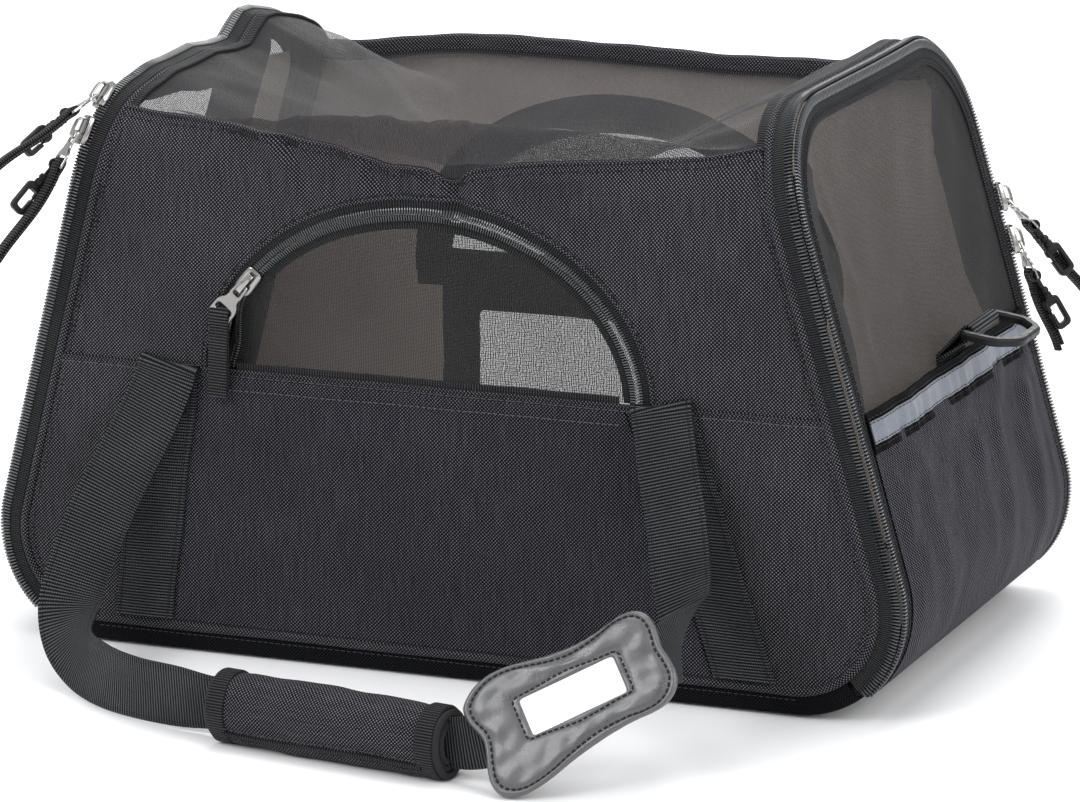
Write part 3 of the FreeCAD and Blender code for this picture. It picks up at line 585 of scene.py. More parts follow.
def webbing(name, dark, light, pitch=1.6):
    """Ribbed narrow weave, ribs across its length."""
    mat = Material(name)
    u, v = mat.across_along()
    wobble = mat.noise(mat.uv, scale=0.5, detail=2.0)
    rib = mat.math("SINE", mat.add(mat.mul(v, 2 * pi / pitch), mat.mul(wobble, 1.2)))
    zigzag = mat.wave(mat.add(u, mat.mul(rib, 0.35)), pitch=1.3)
    fine = mat.noise(mat.uv, scale=3.0, detail=2.0, rough=0.7)
    ribs = mat.mul(mat.add(mat.mul(rib, 0.5), 0.5), 0.9)
    height = mat.add(ribs, mat.mul(zigzag, 0.16))
    tone = mat.remap(mat.add(height, mat.mul(fine, 0.4)), low=0.25, high=1.25)
    patches = mat.noise(mat.uv, scale=0.03, detail=2.0)
    shade = mat.remap(patches, low=0.3, high=0.7, to_low=0.75, to_high=1.1)
    tone = mat.mul(mat.math("POWER", tone, 1.6), shade, clamp=True)
    return mat.finish(mat.bsdf(
        Base_Color=mat.mix(tone, dark, light),
        Roughness=mat.remap(tone, low=0.0, high=1.0, to_low=0.75, to_high=0.5),
        Normal=mat.bump(height, strength=1.0, distance=0.0006), Sheen_Weight=0.02,
        Specular_IOR_Level=mat.remap(tone, low=0.0, high=1.0, to_low=0.08, to_high=0.4)))


def netting(name, thread, cover, pitch=0.9, soft=0.12):
    """Knit mesh with see-through holes; soft blurs the edge between thread and hole."""
    mat = Material(name)
    u, v = mat.across_along()
    u = mat.add(u, mat.mul(mat.noise(mat.uv, scale=0.12, detail=2.0), 2.0))
    weave = mat.mul(mat.wave(u, pitch=pitch * 2), mat.wave(v, pitch=pitch * 1.5))
    hole = mat.math("ABSOLUTE", weave)
    fine = mat.noise(mat.uv, scale=1.5, detail=2.0)
    patches = mat.noise(mat.uv, scale=0.02, detail=2.0)
    cut = mat.add(hole, mat.mul(mat.math("SUBTRACT", fine, 0.5), 0.25))
    limit = mat.remap(patches, low=0.3, high=0.7, to_low=cover - 0.02, to_high=cover + 0.02)
    open_share = mat.remap(cut, mat.math("SUBTRACT", limit, soft), mat.add(limit, soft))
    alpha = mat.math("SUBTRACT", 1.0, open_share)
    threads = mat.bsdf(
        Base_Color=mat.mix(mat.remap(fine, low=0.2, high=0.8), thread, scaled(thread, 1.9)),
        Roughness=0.6, Normal=mat.bump(hole, strength=0.5, distance=0.0003),
        Sheen_Weight=0.05, Specular_IOR_Level=0.25)
    return mat.finish(mat.node("MixShader", alpha, mat.node("BsdfTransparent"), threads))


def fine_weave(mat, scale):
    """Height and tone of a fine plain cloth."""
    u, v = mat.across_along()
    weave = mat.mul(mat.wave(u, pitch=1.1), mat.wave(v, pitch=1.1))
    height = mat.add(mat.mul(weave, 0.3), mat.noise(mat.uv, scale=scale, rough=0.65))
    patches = mat.noise(mat.uv, scale=0.02)
    shade = mat.remap(patches, low=0.3, high=0.7, to_low=0.8, to_high=1.1)
    return height, mat.mul(mat.remap(height, low=0.1, high=1.0), shade, clamp=True)


def cloth_surface(mat, colour, height, rough=0.85, strength=0.6):
    return mat.finish(mat.bsdf(
        Base_Color=colour, Roughness=rough, Sheen_Weight=0.05, Specular_IOR_Level=0.2,
        Normal=mat.bump(height, strength=strength, distance=0.0004)))


def cloth(name, dark, light, scale=1.6, **finish):
    mat = Material(name)
    height, tone = fine_weave(mat, scale)
    return cloth_surface(mat, mat.mix(tone, dark, light), height, **finish)


def plastic(name, base, rough, edge_wear_and_highlight, scale, specular):
    mat = Material(name)
    grain = mat.noise(mat.object, scale=scale, detail=4.0)
    patches = mat.noise(mat.object, scale=scale * 0.12)
    # pointy edges lightened: partly rubbed wear, partly painted highlight on crests and rims
    edge = mat.remap(mat.node("NewGeometry").outputs["Pointiness"], low=0.5, high=0.6)
    body = mat.mix(patches, scaled(base, 0.8), scaled(base, 1.25))
    return mat.finish(mat.bsdf(
        Base_Color=mat.mix(mat.mul(edge, edge_wear_and_highlight), body, scaled(base, 2.2, lift=0.02)),
        Roughness=mat.remap(grain, low=0.3, high=0.7, to_low=rough * 0.8, to_high=rough * 1.25),
        Normal=mat.bump(grain, strength=0.15, distance=0.0002), Specular_IOR_Level=specular))


def metal(name, base, rough):
    mat = Material(name)
    grain = mat.noise(mat.object, scale=900.0)
    patches = mat.noise(mat.object, scale=120.0)
    brushed = mat.stretched_noise(mat.object, scale=(2500, 300, 2500))
    colour = mat.mix(mat.remap(patches, low=0.35, high=0.7), scaled(base, 0.78), base)
    return mat.finish(mat.bsdf(
        Base_Color=colour, Metallic=1.0,
        Roughness=mat.remap(grain, low=0.3, high=0.7, to_low=rough * 0.7, to_high=rough * 1.6),
        Normal=mat.bump(brushed, strength=0.12, distance=0.0001)))


def leather(name):
    mat = Material(name)
    noise = mat.node("TexNoise", Vector=mat.uv, Scale=0.6, Detail=2.0)
    warp = mat.node("VectorMath", noise.outputs[1], operation="SCALE", Scale=0.9)
    warped = mat.node("VectorMath", mat.uv, warp, operation="ADD")
    cells = mat.node("TexVoronoi", feature="DISTANCE_TO_EDGE", Vector=warped, Scale=1.5)
    crack = mat.remap(cells.outputs["Distance"], low=0.0, high=0.18)
    fine = mat.noise(mat.uv, scale=2.0, detail=4.0, rough=0.6)
    patches = mat.noise(mat.uv, scale=0.08)
    height = mat.add(crack, mat.mul(fine, 0.45))
    tone = mat.remap(height, low=0.2, high=1.3)
    gloss = mat.remap(patches, low=0.3, high=0.7, to_low=0.2, to_high=0.34)
    relief = mat.add(height, mat.mul(patches, 0.6))
    return mat.finish(mat.bsdf(
        Base_Color=mat.mix(tone, (0.018, 0.018, 0.020), (0.046, 0.046, 0.050)),
        Roughness=mat.add(gloss, mat.mul(fine, 0.08)),
        Normal=mat.bump(relief, strength=0.22, distance=0.0004),
        Specular_IOR_Level=0.85, Coat_Weight=0.5, Coat_Roughness=0.2))


def reflective(name):
    mat = Material(name)
    cells = mat.node("TexVoronoi", Vector=mat.uv, Scale=1.6).outputs["Distance"]
    spots = mat.mul(mat.remap(cells, low=0.1, high=0.6), 0.7)
    patches = mat.noise(mat.uv, scale=0.05)
    colour = mat.mix(spots, (0.20, 0.215, 0.25), (0.12, 0.13, 0.155))
    dull = mat.remap(patches, low=0.35, high=0.75, to_low=0.0, to_high=0.5)
    return mat.finish(mat.bsdf(
        Base_Color=mat.mix(dull, colour, (0.11, 0.12, 0.14)), Metallic=0.2,
        Roughness=mat.remap(patches, low=0.3, high=0.7, to_low=0.32, to_high=0.5),
        Normal=mat.bump(cells, strength=0.3, distance=0.0003)))


def film(name):
    """Clear film that reflects more at a glancing angle."""
    mat = Material(name)
    noise = mat.noise(mat.object, scale=60.0)
    gloss = mat.node("BsdfGlossy", Color=(1, 1, 1, 1), Roughness=mat.remap(
        noise, low=0.3, high=0.7, to_low=0.05, to_high=0.16))
    clear = mat.node("BsdfTransparent", Color=(1, 1, 1, 1))
    weight = mat.node("LayerWeight", Blend=0.3,
                      Normal=mat.bump(noise, strength=0.15, distance=0.0006))
    facing = mat.math("POWER", weight.outputs[1], 3.0)
    # strongest reflection 0.3, over a base of 0.015
    shine = mat.node("Math", facing, 0.3, 0.015, operation="MULTIPLY_ADD")
    return mat.finish(mat.node("MixShader", shine, clear, gloss))


# dark and light ends of each cloth's tone
TAUPE_TONES = (0.47, 0.405, 0.36), (0.70, 0.62, 0.565)
DARK_TONES = (0.010, 0.0095, 0.011), (0.030, 0.028, 0.031)


def back_lining():
    """Taupe lining, darkened round the two mesh windows: partly dark facing cloth, partly painted
    shade inside the bag.
    """
    mat = Material("lining_back")
    u, v = mat.across_along()
    noise = mat.noise(mat.uv, scale=0.06, detail=2.0)
    wobble = mat.mul(mat.math("SUBTRACT", noise, 0.5), 2.0)
    height, tone = fine_weave(mat, scale=1.6)
    # box from z 23 to 144.5 and 110.5 either way, and a half ellipse above z 135
    beside = mat.math("LESS_THAN", mat.math("ABSOLUTE", u), mat.add(110.5, wobble))
    box = mat.mul(beside, mat.mul(mat.math("GREATER_THAN", v, 23.0),
                                  mat.math("LESS_THAN", v, 144.5)))
    across = mat.math("DIVIDE", mat.math("SUBTRACT", u, ARCH_X), ARCH_A + 10.0)
    up = mat.math("DIVIDE", mat.math("SUBTRACT", v, ARCH_Z), ARCH_B + 10.0)
    ellipse = mat.add(mat.mul(across, across), mat.mul(up, up))
    inside = mat.math("LESS_THAN", ellipse, mat.add(1.0, mat.mul(wobble, 0.01)))
    arch = mat.mul(inside, mat.math("GREATER_THAN", v, 135.0))
    # dark band round the windows: partly facing cloth, partly painted shade of the bag's inside
    dark_facing_and_shade = mat.math("MAXIMUM", box, arch)
    colour = mat.mix(dark_facing_and_shade, mat.mix(tone, *TAUPE_TONES), mat.mix(tone, *DARK_TONES))
    return cloth_surface(mat, colour, height)


OXFORD = oxford("oxford", dark=(0.0022, 0.0020, 0.0030), light=(0.205, 0.195, 0.222))
OXFORD_DARK = oxford("oxford_base", dark=(0.0012, 0.0013, 0.002), light=(0.010, 0.011, 0.014),
                     rough=0.8, sheen=0.0)
POCKET = oxford("oxford_pocket", dark=(0.0020, 0.0019, 0.0030), light=(0.165, 0.159, 0.195))
LINING = cloth("lining_taupe", *TAUPE_TONES)
LINING_DARK = cloth("lining_dark", *DARK_TONES)
WEB = webbing("webbing", dark=(0.0014, 0.0016, 0.002), light=(0.082, 0.086, 0.092))
WEB_NARROW = webbing("webbing_narrow", dark=(0.003, 0.003, 0.0034), light=(0.055, 0.055, 0.058),
                     pitch=1.5)
BIND = webbing("binding", dark=(0.003, 0.003, 0.004), light=(0.034, 0.034, 0.038), pitch=1.4)
NET = netting("netting_black", thread=(0.014, 0.0132, 0.014), cover=0.465)
NET_BACK = netting("netting_back", thread=(0.014, 0.0135, 0.015), cover=0.60, pitch=0.62,
                   soft=0.42)
NET_TOP = netting("netting_top", thread=(0.020, 0.0185, 0.020), cover=0.47)
TAPE = webbing("zip_tape", dark=(0.0025, 0.0028, 0.003), light=(0.034, 0.036, 0.037), pitch=1.2)
# strong edge lightening paints the highlights on the coil's tooth crowns
COIL = plastic("zip_coil", base=(0.020, 0.021, 0.023), rough=0.20, edge_wear_and_highlight=0.6, scale=500.0,
               specular=0.9)
THREAD = cloth("thread_grey", dark=(0.012, 0.0115, 0.013), light=(0.060, 0.058, 0.064),
               scale=3.0, rough=0.6)
THREAD_BLACK = cloth("thread_black", dark=(0.003, 0.003, 0.004), light=(0.016, 0.016, 0.018),
                     scale=3.0, rough=0.6)
THREAD_PALE = cloth("thread_pale", dark=(0.03, 0.029, 0.031), light=(0.12, 0.116, 0.124),
                    scale=3.0, rough=0.6)
PLASTIC = plastic("black_plastic", base=(0.004, 0.0042, 0.005), rough=0.42, edge_wear_and_highlight=0.12,
                  scale=260.0, specular=0.22)
NICKEL = metal("nickel", base=(0.36, 0.352, 0.34), rough=0.16)
STEEL = metal("spring_steel", base=(0.35, 0.35, 0.36), rough=0.35)
LEATHER = leather("tag_leather")
REFLECT = reflective("reflective")
CARD = cloth("card", dark=(0.90, 0.90, 0.90), light=(0.97, 0.97, 0.97), scale=2.0, rough=0.7,
             strength=0.15)
CLEAR = film("clear_film")
BOARD = cloth("board", dark=(0.03, 0.03, 0.032), light=(0.07, 0.07, 0.072), scale=0.6)
FLEECE = cloth("fleece", dark=(0.20, 0.18, 0.165), light=(0.36, 0.33, 0.31), scale=0.9,
               rough=0.95, strength=1.0)
LINING_BACK = back_lining()


# ---- front ----------------------------------------------------------------------------
FRAME_GAP = 8.0                         # from the door's arch to the cloth round it
CLOTH_IN = 14.6                         # long faces' cloth stops this far in from the ends


def end_hems(mesh, side, top, count, off, slot):
    """Stitching beside the piping, at both ends of a long face."""
    z = np.linspace(30, top, count)
    for end in (-1, 1):
        path = face_point(side, end * end_x(z, 18.4), z, off)
        mesh.stitch(path, (0, side, 0), slot, radius=0.24)


def arch_to_edge(t):
    """How far out along a ray of the arch the cloth reaches, as a multiple of the arch."""
    ray_x = cos(t) * (ARCH_A + FRAME_GAP + 0.3)
    ray_z = max(0.0, sin(t)) * (ARCH_B + FRAME_GAP + 0.3)
    low, high = 1.0, 4.0
    for _ in range(40):
        middle = (low + high) / 2
        x, z = ARCH_X + ray_x * middle, ARCH_Z + ray_z * middle
        if z < float(seam_z(x)) and abs(x) < float(end_x(z, CLOTH_IN)):
            low = middle
        else:
            high = middle
    return low


def front_panel():
    mesh = Mesh()
    # upper part: rows fan out from the door's arch
    turn = np.linspace(0, pi, 321)
    reach = np.array([arch_to_edge(t) for t in turn])
    share = np.linspace(0, 1, 44) ** 1.15
    arch_x, arch_z = np.cos(turn) * (ARCH_A + FRAME_GAP), np.sin(turn) * (ARCH_B + FRAME_GAP)
    spread = 1 + (reach[:, None] - 1) * share[None]
    x, z = ARCH_X + arch_x[:, None] * spread, ARCH_Z + arch_z[:, None] * spread
    mesh.sheet(face_point(FRONT, x, z, 0.5), 1.0, points(x, z), (0, -1, 0))
    lip = face_point(FRONT, ARCH_X + arch_x, ARCH_Z + arch_z, 0.4)
    mesh.cord(lip, (0, -1, 0), circle(0.95, 8))
    # lower part, lapped over the upper one, with a rolled top edge
    z = np.concatenate([np.linspace(13.4, 146, 90), [148, 149.6, 150.4]])
    x = np.linspace(-1, 1, 230)[:, None] * end_x(z, CLOTH_IN)[None]
    lift = 0.8 + 0.5 * ramp(140, 149, z)
    mesh.sheet(face_point(FRONT, x, z, lift), 1.1, points(x, z), (0, -1, 0))
    x = np.linspace(-1, 1, 200) * end_x(150.2, CLOTH_IN)
    mesh.cord(face_point(FRONT, x, np.full(200, 150.3), 0.95), (0, -1, 0), circle(0.85, 8))
    x = np.linspace(-1, 1, 500) * end_x(147.6, 16)
    path = face_point(FRONT, x, np.full(500, 147.6), 1.45)
    mesh.stitch(path, (0, -1, 0), 3, radius=0.28, pitch=3.2, length=2.6)
    # bound top edge
    x = np.linspace(-1, 1, 260)
    z = seam_z(x * 172)
    x = x * end_x(z, 14.8)
    mesh.cord(face_point(FRONT, x, z, 0.2), (0, -1, 0), rounded_rect(0.8, 1.3, 0.6, 3))
    mesh.stitch(face_point(FRONT, x, z - 4.2, 0.55), (0, -1, 0), 2, radius=0.26)
    end_hems(mesh, FRONT, top=268, count=200, off=0.75, slot=2)
    mesh.build("front_panel_cloth", "shell", "front_panel", "oxford",
               OXFORD, LINING, THREAD_BLACK, THREAD_PALE)


def front_pocket():
    """Slip pocket over the lower front, with a turned and stitched top hem."""
    mesh = Mesh()
    z = np.concatenate([np.linspace(17, 141, 60), [143, 144.8, 146.2, 147]])
    share = np.linspace(0, 1, 180)[:, None]
    left, right = np.interp(z, [19, 147], [-146, -124]), np.interp(z, [19, 147], [146, 104])
    x = left + (right - left) * share
    loose = ramp(0, 0.08, share) * ramp(1, 0.92, share)
    off = 1.5 + 0.9 * loose * ramp(30, 140, z) + 0.6 * ramp(139, 142, z)
    mesh.sheet(face_point(FRONT, x, z, off), 0.9, points(x, z), (0, -1, 0), inner=0)
    path = face_point(FRONT, np.linspace(-119, 100, 300), np.full(300, 141.0), 3.2)
    mesh.stitch(path, (0, -1, 0), 1, radius=0.3, pitch=3.2, length=2.4)
    mesh.build("front_pocket_cloth", "shell", "front_pocket", "oxford", POCKET, THREAD_PALE)


def sewn_strip(mesh, side, foot_x, top_x, phase):
    """Webbing sewn flat up a long face, edge stitched, with a crossed box near its top."""
    foot_z, top_z, off = 17.5, 152, 2.7
    z = np.linspace(foot_z, top_z, 110)
    centre = np.interp(z, [foot_z, top_z], [foot_x, top_x])
    across = np.linspace(-16, 16, 15)[None]
    x = centre[:, None] + across + 0.25 * np.sin(z / 9 + phase)[:, None]
    puff = 0.35 * np.cos(across / 16 * pi / 2)
    length = run(points(centre, z))
    mesh.sheet(face_point(side, x, z[:, None], off + puff), 1.5,
               points(across + 40, length[:, None]), (0, side, 0), inner=0)
    for shift in (-13.6, 13.6):
        mesh.stitch(face_point(side, centre + shift, z, off + 0.25), (0, side, 0), 1,
                    radius=0.3, pitch=3.1, length=2.3)
    low, high = top_z - 26, top_z - 3
    box = [(-12, low), (12, low), (12, high), (-12, high), (-12, low), (12, high), (-12, high),
           (12, low)]
    t = np.linspace(0, 1, 30)
    for (x0, z0), (x1, z1) in zip(box[:-1], box[1:]):
        z = z0 + (z1 - z0) * t
        x = np.interp(z, [foot_z, top_z], [foot_x, top_x]) + x0 + (x1 - x0) * t
        mesh.stitch(face_point(side, x, z, off + 0.35), (0, side, 0), 1,
                    radius=0.3, pitch=3.0, length=2.2)


def sewn_webbing(name, side, *strips):
    mesh = Mesh()
    for strip in strips:
        sewn_strip(mesh, side, *strip)
    mesh.build(name + "_cloth", "shell", name, "webbing", WEB, THREAD_BLACK)


front_panel()
front_pocket()
# x at the foot, x at the top, phase of the wavy edge
sewn_webbing("front_sewn_webbing", FRONT, (-164, -142, 0.3), (164, 123, 1.9))
sewn_webbing("back_sewn_webbing", BACK, (-162, -132, 0.8), (162, 132, 2.4))

# ---- back, with a low window and an arched one above it -------------------------------
LOW_HALF_X, LOW_Z0, LOW_Z1, LOW_RADIUS = 93.5, 40.0, 127.5, 8
LOW_MID, LOW_HALF_Z = (LOW_Z0 + LOW_Z1) / 2, (LOW_Z1 - LOW_Z0) / 2
WINDOW_A, WINDOW_B, WINDOW_FOOT = ARCH_A - 7, ARCH_B - 7, ARCH_Z + 3


def window_outlines():
    low = rounded_rect(LOW_HALF_X, LOW_HALF_Z, LOW_RADIUS, 12) + (0, LOW_MID)
    turn = np.linspace(0.012, pi - 0.012, 160)
    arch = points(ARCH_X + WINDOW_A * np.cos(turn),
                  np.maximum(ARCH_Z + WINDOW_B * np.sin(turn), WINDOW_FOOT))
    corner = [[ARCH_X + WINDOW_A * cos(0.012), WINDOW_FOOT]]
    return (resample(np.concatenate([low, low[:1]]), 1.2),
            resample(np.concatenate([arch, corner]), 1.2))


LOW_WINDOW, ARCH_WINDOW = window_outlines()


def from_low_window(x, z):
    over_x = np.abs(x) - (LOW_HALF_X - LOW_RADIUS)
    over_z = np.abs(z - LOW_MID) - (LOW_HALF_Z - LOW_RADIUS)
    outside = np.hypot(np.maximum(over_x, 0), np.maximum(over_z, 0))
    return outside + np.minimum(np.maximum(over_x, over_z), 0) - LOW_RADIUS


def from_arch_window(x, z):
    ellipse = (np.hypot((x - ARCH_X) / WINDOW_A, (z - ARCH_Z) / WINDOW_B) - 1) * WINDOW_B
    return np.maximum(ellipse, WINDOW_FOOT - z)


# y, z round the rolled top hem
HEM = [(2.2, -7.0), (2.4, 0.0), (1.6, 2.6), (-0.4, 3.6), (-2.6, 2.6), (-3.8, 0.0), (-4.1, -6.6),
       (-3.2, -6.8), (-2.9, -0.4), (-1.9, 1.7), (-0.3, 2.5), (1.0, 1.6), (1.4, -0.5), (1.2, -7.0)]


def back_panel():
    mesh = Mesh()
    share = np.linspace(-1, 1, 190)
    top = back_edge_z(share * 175) + 2.0
    z = 13.4 + (top[:, None] - 13.4) * np.linspace(0, 1, 112)[None]
    x = share[:, None] * end_x(z, CLOTH_IN)
    # pull the nearest vertices onto the windows' outlines, then leave out the quads inside
    distances = from_low_window(x, z), from_arch_window(x, z)
    for line, distance in zip((LOW_WINDOW, ARCH_WINDOW), distances):
        near = np.abs(distance) < 1.9
        gap = points(x[near], z[near])[:, None] - line[None]
        nearest = np.argmin((gap ** 2).sum(-1), 1)
        x[near], z[near] = line[nearest, 0], line[nearest, 1]
    d = np.minimum(from_low_window(x, z), from_arch_window(x, z))
    middle = (d[:-1, :-1] + d[1:, :-1] + d[1:, 1:] + d[:-1, 1:]).reshape(-1) / 4
    mesh.sheet(face_point(BACK, x, z, 0.5), 1.0, points(x, z), (0, 1, 0), keep=middle > 0.05)
    # rolled top hem
    x = np.linspace(-1, 1, 240) * 171.0
    path = face_point(BACK, x, back_edge_z(x))
    wobble = 1 + 0.06 * np.sin(x / 13.0) + 0.05 * np.sin(x / 5.3 + 1)
    mesh.sweep(path, np.tile([0.0, 1, 0], (240, 1)), np.tile([0.0, 0, 1], (240, 1)), HEM,
               scale=wobble)
    mesh.stitch(path + (0, -4.2, -4.2), (0, -1, 0.2), 3, radius=0.28)
    mesh.stitch(path + (0, 2.5, -4.6), (0, 1, 0), 3, radius=0.28)
    end_hems(mesh, BACK, top=266, count=180, off=0.7, slot=3)
    mesh.build("back_panel_cloth", "shell", "back_panel", "oxford",
               OXFORD, LINING_BACK, LINING_DARK, THREAD_BLACK)


def window(mesh, line, x, z):
    """Netting over the places x, z, and the stitched binding round its outline."""
    off = -0.9 + 0.5 * np.sin(x / 21) * np.sin(z / 17)
    mesh.add(face_point(BACK, x, z, off), grid(90, 40), points(x, z))
    along = unit(np.gradient(line, axis=0))
    path = face_point(BACK, line[:, 0], line[:, 1], 0.1)
    side = points(along[:, 1], 0.0, -along[:, 0])
    out = np.tile([0.0, 1, 0], (len(path), 1))
    mesh.sweep(path, side, out, rounded_rect(4.2, 1.35, 1.0, 3), 1)
    for shift in (-2.8, 2.8):
        for face in (1, -1):
            mesh.stitch(path + side * shift + out * (1.4 * face), (0, face, 0), 2, radius=0.26)


def back_windows():
    mesh = Mesh()
    x = np.linspace(-LOW_HALF_X - 3, LOW_HALF_X + 3, 90)[:, None]
    window(mesh, LOW_WINDOW, x, np.linspace(LOW_Z0 - 3, LOW_Z1 + 3, 40)[None])
    foot = WINDOW_FOOT - 3
    z = np.linspace(0, 1, 40)[None] * (ARCH_Z + WINDOW_B + 2 - foot) + foot
    share = np.clip(1 - ((z - ARCH_Z) / (WINDOW_B + 2.5)) ** 2, 0.0004, 1)
    x = ARCH_X + np.linspace(-1, 1, 90)[:, None] * (WINDOW_A + 2) * np.sqrt(share)
    window(mesh, ARCH_WINDOW, x, z)
    mesh.build("back_window_netting", "shell", "back_mesh_windows", "mesh",
               NET_BACK, BIND, THREAD)


back_panel()
back_windows()


# ---- mesh top: stretched from the hoops and edges, falling into the bag ---------------
# x0, y0, x1, y1, half width, height
TOP_CREASES = [
    (-160, 96, -60, 10, 6, 1.6), (-150, 104, -40, 30, 7, -1.1), (158, -70, 70, -38, 5, 2.2),
    (156, -84, 60, -60, 6, -1.4), (150, 92, 60, 20, 7, 1.4), (-158, -60, -70, -20, 7, 1.0),
    (-44, -122, -30, -70, 5, 1.6), (9, -124, 16, -70, 5, -2.0), (60, -118, 80, -60, 8, 1.0),
    (-100, 118, -85, 60, 9, 1.1), (30, 118, 25, 50, 9, 0.9)]
TOP_BLEND = 3.2                         # how softly the mesh's planes run together


def soft_max(*heights):
    heights = np.stack(np.broadcast_arrays(*heights))
    top = heights.max(0)
    return top + TOP_BLEND * np.log(np.exp((heights - top) / TOP_BLEND).sum(0))


def top_netting():
    mesh = Mesh()
    share = np.linspace(-1, 1, 190)
    across = np.concatenate([np.linspace(0, 0.055, 14)[:-1], np.linspace(0.055, 1, 83)])
    mid_x = share * 168.0
    seam, back = seam_z(mid_x), back_edge_z(mid_x)
    seam_y = (front_y(share * end_x(seam, 15.5), seam) + 0.6)[:, None]
    edge_y = (back_y(share * end_x(back, 15.5), back) - 3.6)[:, None]
    seam, back = (seam - 1.0)[:, None], (back - 5.0)[:, None]
    y = seam_y + (edge_y - seam_y) * across[None]
    ridge = np.maximum(soft_lookup(mid_x, RIDGE, 7.0)[:, None], seam + 1.2)
    arc = np.sqrt(np.clip(1 - ((np.abs(y) - CORNER_Y) / R_TOP) ** 2, 0.01, 1))
    hoop_z = np.where(np.abs(y) < CORNER_Y, HEIGHT, CORNER_Z + CORNER_RISE * arc)
    limit_x = end_x(np.minimum(hoop_z, 296), 15.5)
    x = share[:, None] * limit_x
    from_end = limit_x - np.abs(x)
    z = soft_max(
        ridge - 0.50 * (y - (seam_y + 12)),      # down from the front ridge
        back - 0.30 * (edge_y - y),              # down from the back edge
        hoop_z - 1.2 - 0.50 * from_end,          # down from the hoops
        237.0 + 3.0 * np.sin(x / 60.0 + 0.5)     # lowest part
    ) - TOP_BLEND * 0.35
    z = np.minimum(z, hoop_z - 0.8)
    # the short rises from the front cloth's edge to the ridge, and at the back hem
    front_share = np.clip((y - seam_y) / 12.0, 0, 1)
    z = np.where(front_share < 1, seam + (z - seam) * np.sin(front_share * pi / 2) ** 0.85, z)
    back_share = np.clip((edge_y - y) / 5.0, 0, 1)
    z = back * (1 - back_share) + z * back_share
    z = np.where(from_end < 0.5, np.minimum(z, hoop_z), z)
    inside = ramp(0, 10, from_end) * ramp(0, 0.03, across) * ramp(1.0, 0.95, across)
    z = z + (folds(x, y, TOP_CREASES) + ripple(x, y, seed=21, height=0.7, scale=46)) * inside
    top = slack(points(x, y, z))
    steps = np.linalg.norm(np.diff(top, axis=1), axis=-1)
    length = np.cumsum(np.concatenate([np.zeros((190, 1)), steps], 1), 1)
    mesh.add(top, grid(190, len(across)), points(x, length))
    # bound seams all round
    long_tape, end_tape = rounded_rect(2.4, 0.8, 0.6, 2), rounded_rect(3.0, 0.9, 0.7, 2)
    mesh.cord(top[:, 0], (0, -1, 0.3), long_tape, 1)
    mesh.cord(top[:, -1], (0, -0.6, 0.8), long_tape, 1)
    mesh.cord(top[0], (0, 0, 1), end_tape, 1)
    mesh.cord(top[-1], (0, 0, 1), end_tape, 1)
    mesh.build("top_netting", "shell", "top_mesh_panel", "mesh", NET_TOP, BIND)


top_netting()

# ---- hoops: piping, wire, zip tape, coil teeth ----------------------------------------
HOOP_RUN = np.linspace(-FOOT_RISE + 0.4, HOOP_LENGTH + FOOT_RISE - 0.4, 560)
ZIP_RUN = np.linspace(0.6, HOOP_LENGTH - 0.6, 520)
TOOTH_PITCH = 1.72
ZIP_THREAD = dict(slot=2, radius=0.3, pitch=3.0, length=2.3)
END_FACE, TUBE_FACE = 1, 2              # places of their inward directions in hoop_frame
PIPING_IN = 13.4                        # piping's distance in from the end face
SEAM_TO_BASE = 13.4                     # height of the piping along the base


def hoop_cord(mesh, side, along, inset, outline, slot=0):
    path, deeper, inner = hoop_frame(along, PIPING_IN, inset, side)
    mesh.sweep(path, deeper, -inner if side > 0 else inner, outline, slot)


def hoop_stitch(mesh, side, along, depth, inset, face, trim, **thread):
    """Stitches along a hoop, leaving out trim points at each end."""
    guide = hoop_frame(along, depth, inset, side)
    mesh.stitch(guide[0][trim:-trim], -guide[face][trim:-trim], **thread)


def hoop_strip(mesh, side, outline, slot=0, along=ZIP_RUN, flip=False):
    """Tape along a hoop; its outline is in (depth, inset)."""
    outline = np.array(outline, float)
    rings = hoop_point(along[:, None], outline[:, 0], outline[:, 1], side)
    mesh.tube(rings, points(run(outline)[None], along[:, None]), slot, (side > 0) != flip)


def hoop_teeth(mesh, side, on_door):
    def place(number, along, across, up):
        along = 3 + (number + (0.5 if on_door else 0.0)) * TOOTH_PITCH + along
        if on_door:                     # lying on the end face
            return hoop_point(along, -0.7 - up, 2.9 - across, side)
        return hoop_point(along, 2.5 - across, -0.7 - up, side)
    numbers = np.arange(int((HOOP_LENGTH - 6) / TOOTH_PITCH))
    mesh.teeth(place, numbers, across=2.35, along=0.62, high=1.15)


def piping():
    mesh = Mesh()
    for side in (-1, 1):
        hoop_cord(mesh, side, HOOP_RUN, 0.0, circle(2.45, 12))
        hoop_stitch(mesh, side, HOOP_RUN, 16.6, -0.5, TUBE_FACE, 40, slot=1, radius=0.24)
    x = np.linspace(-FLAT_X - 1, FLAT_X + 1, 240)
    for side in (FRONT, BACK):
        path = points(x, side * HALF_DEPTH, SEAM_TO_BASE + 0.25 * np.sin(x / 19))
        mesh.cord(path, (0, side, 0), circle(2.45, 12))
    mesh.build("hoop_piping_cloth", "shell", "hoop_piping", "oxford", OXFORD, THREAD_BLACK)


def wires():
    """Spring wire in a cloth sleeve, inside each hoop."""
    mesh = Mesh()
    for side in (-1, 1):
        hoop_cord(mesh, side, HOOP_RUN, 3.75, circle(0.95, 8))
        hoop_cord(mesh, side, HOOP_RUN[6:-6], 3.75, circle(1.75, 10), 1)
    mesh.build("hoop_spring_wire", "shell", "hoop_wires", "spring_steel", STEEL, LINING_DARK)


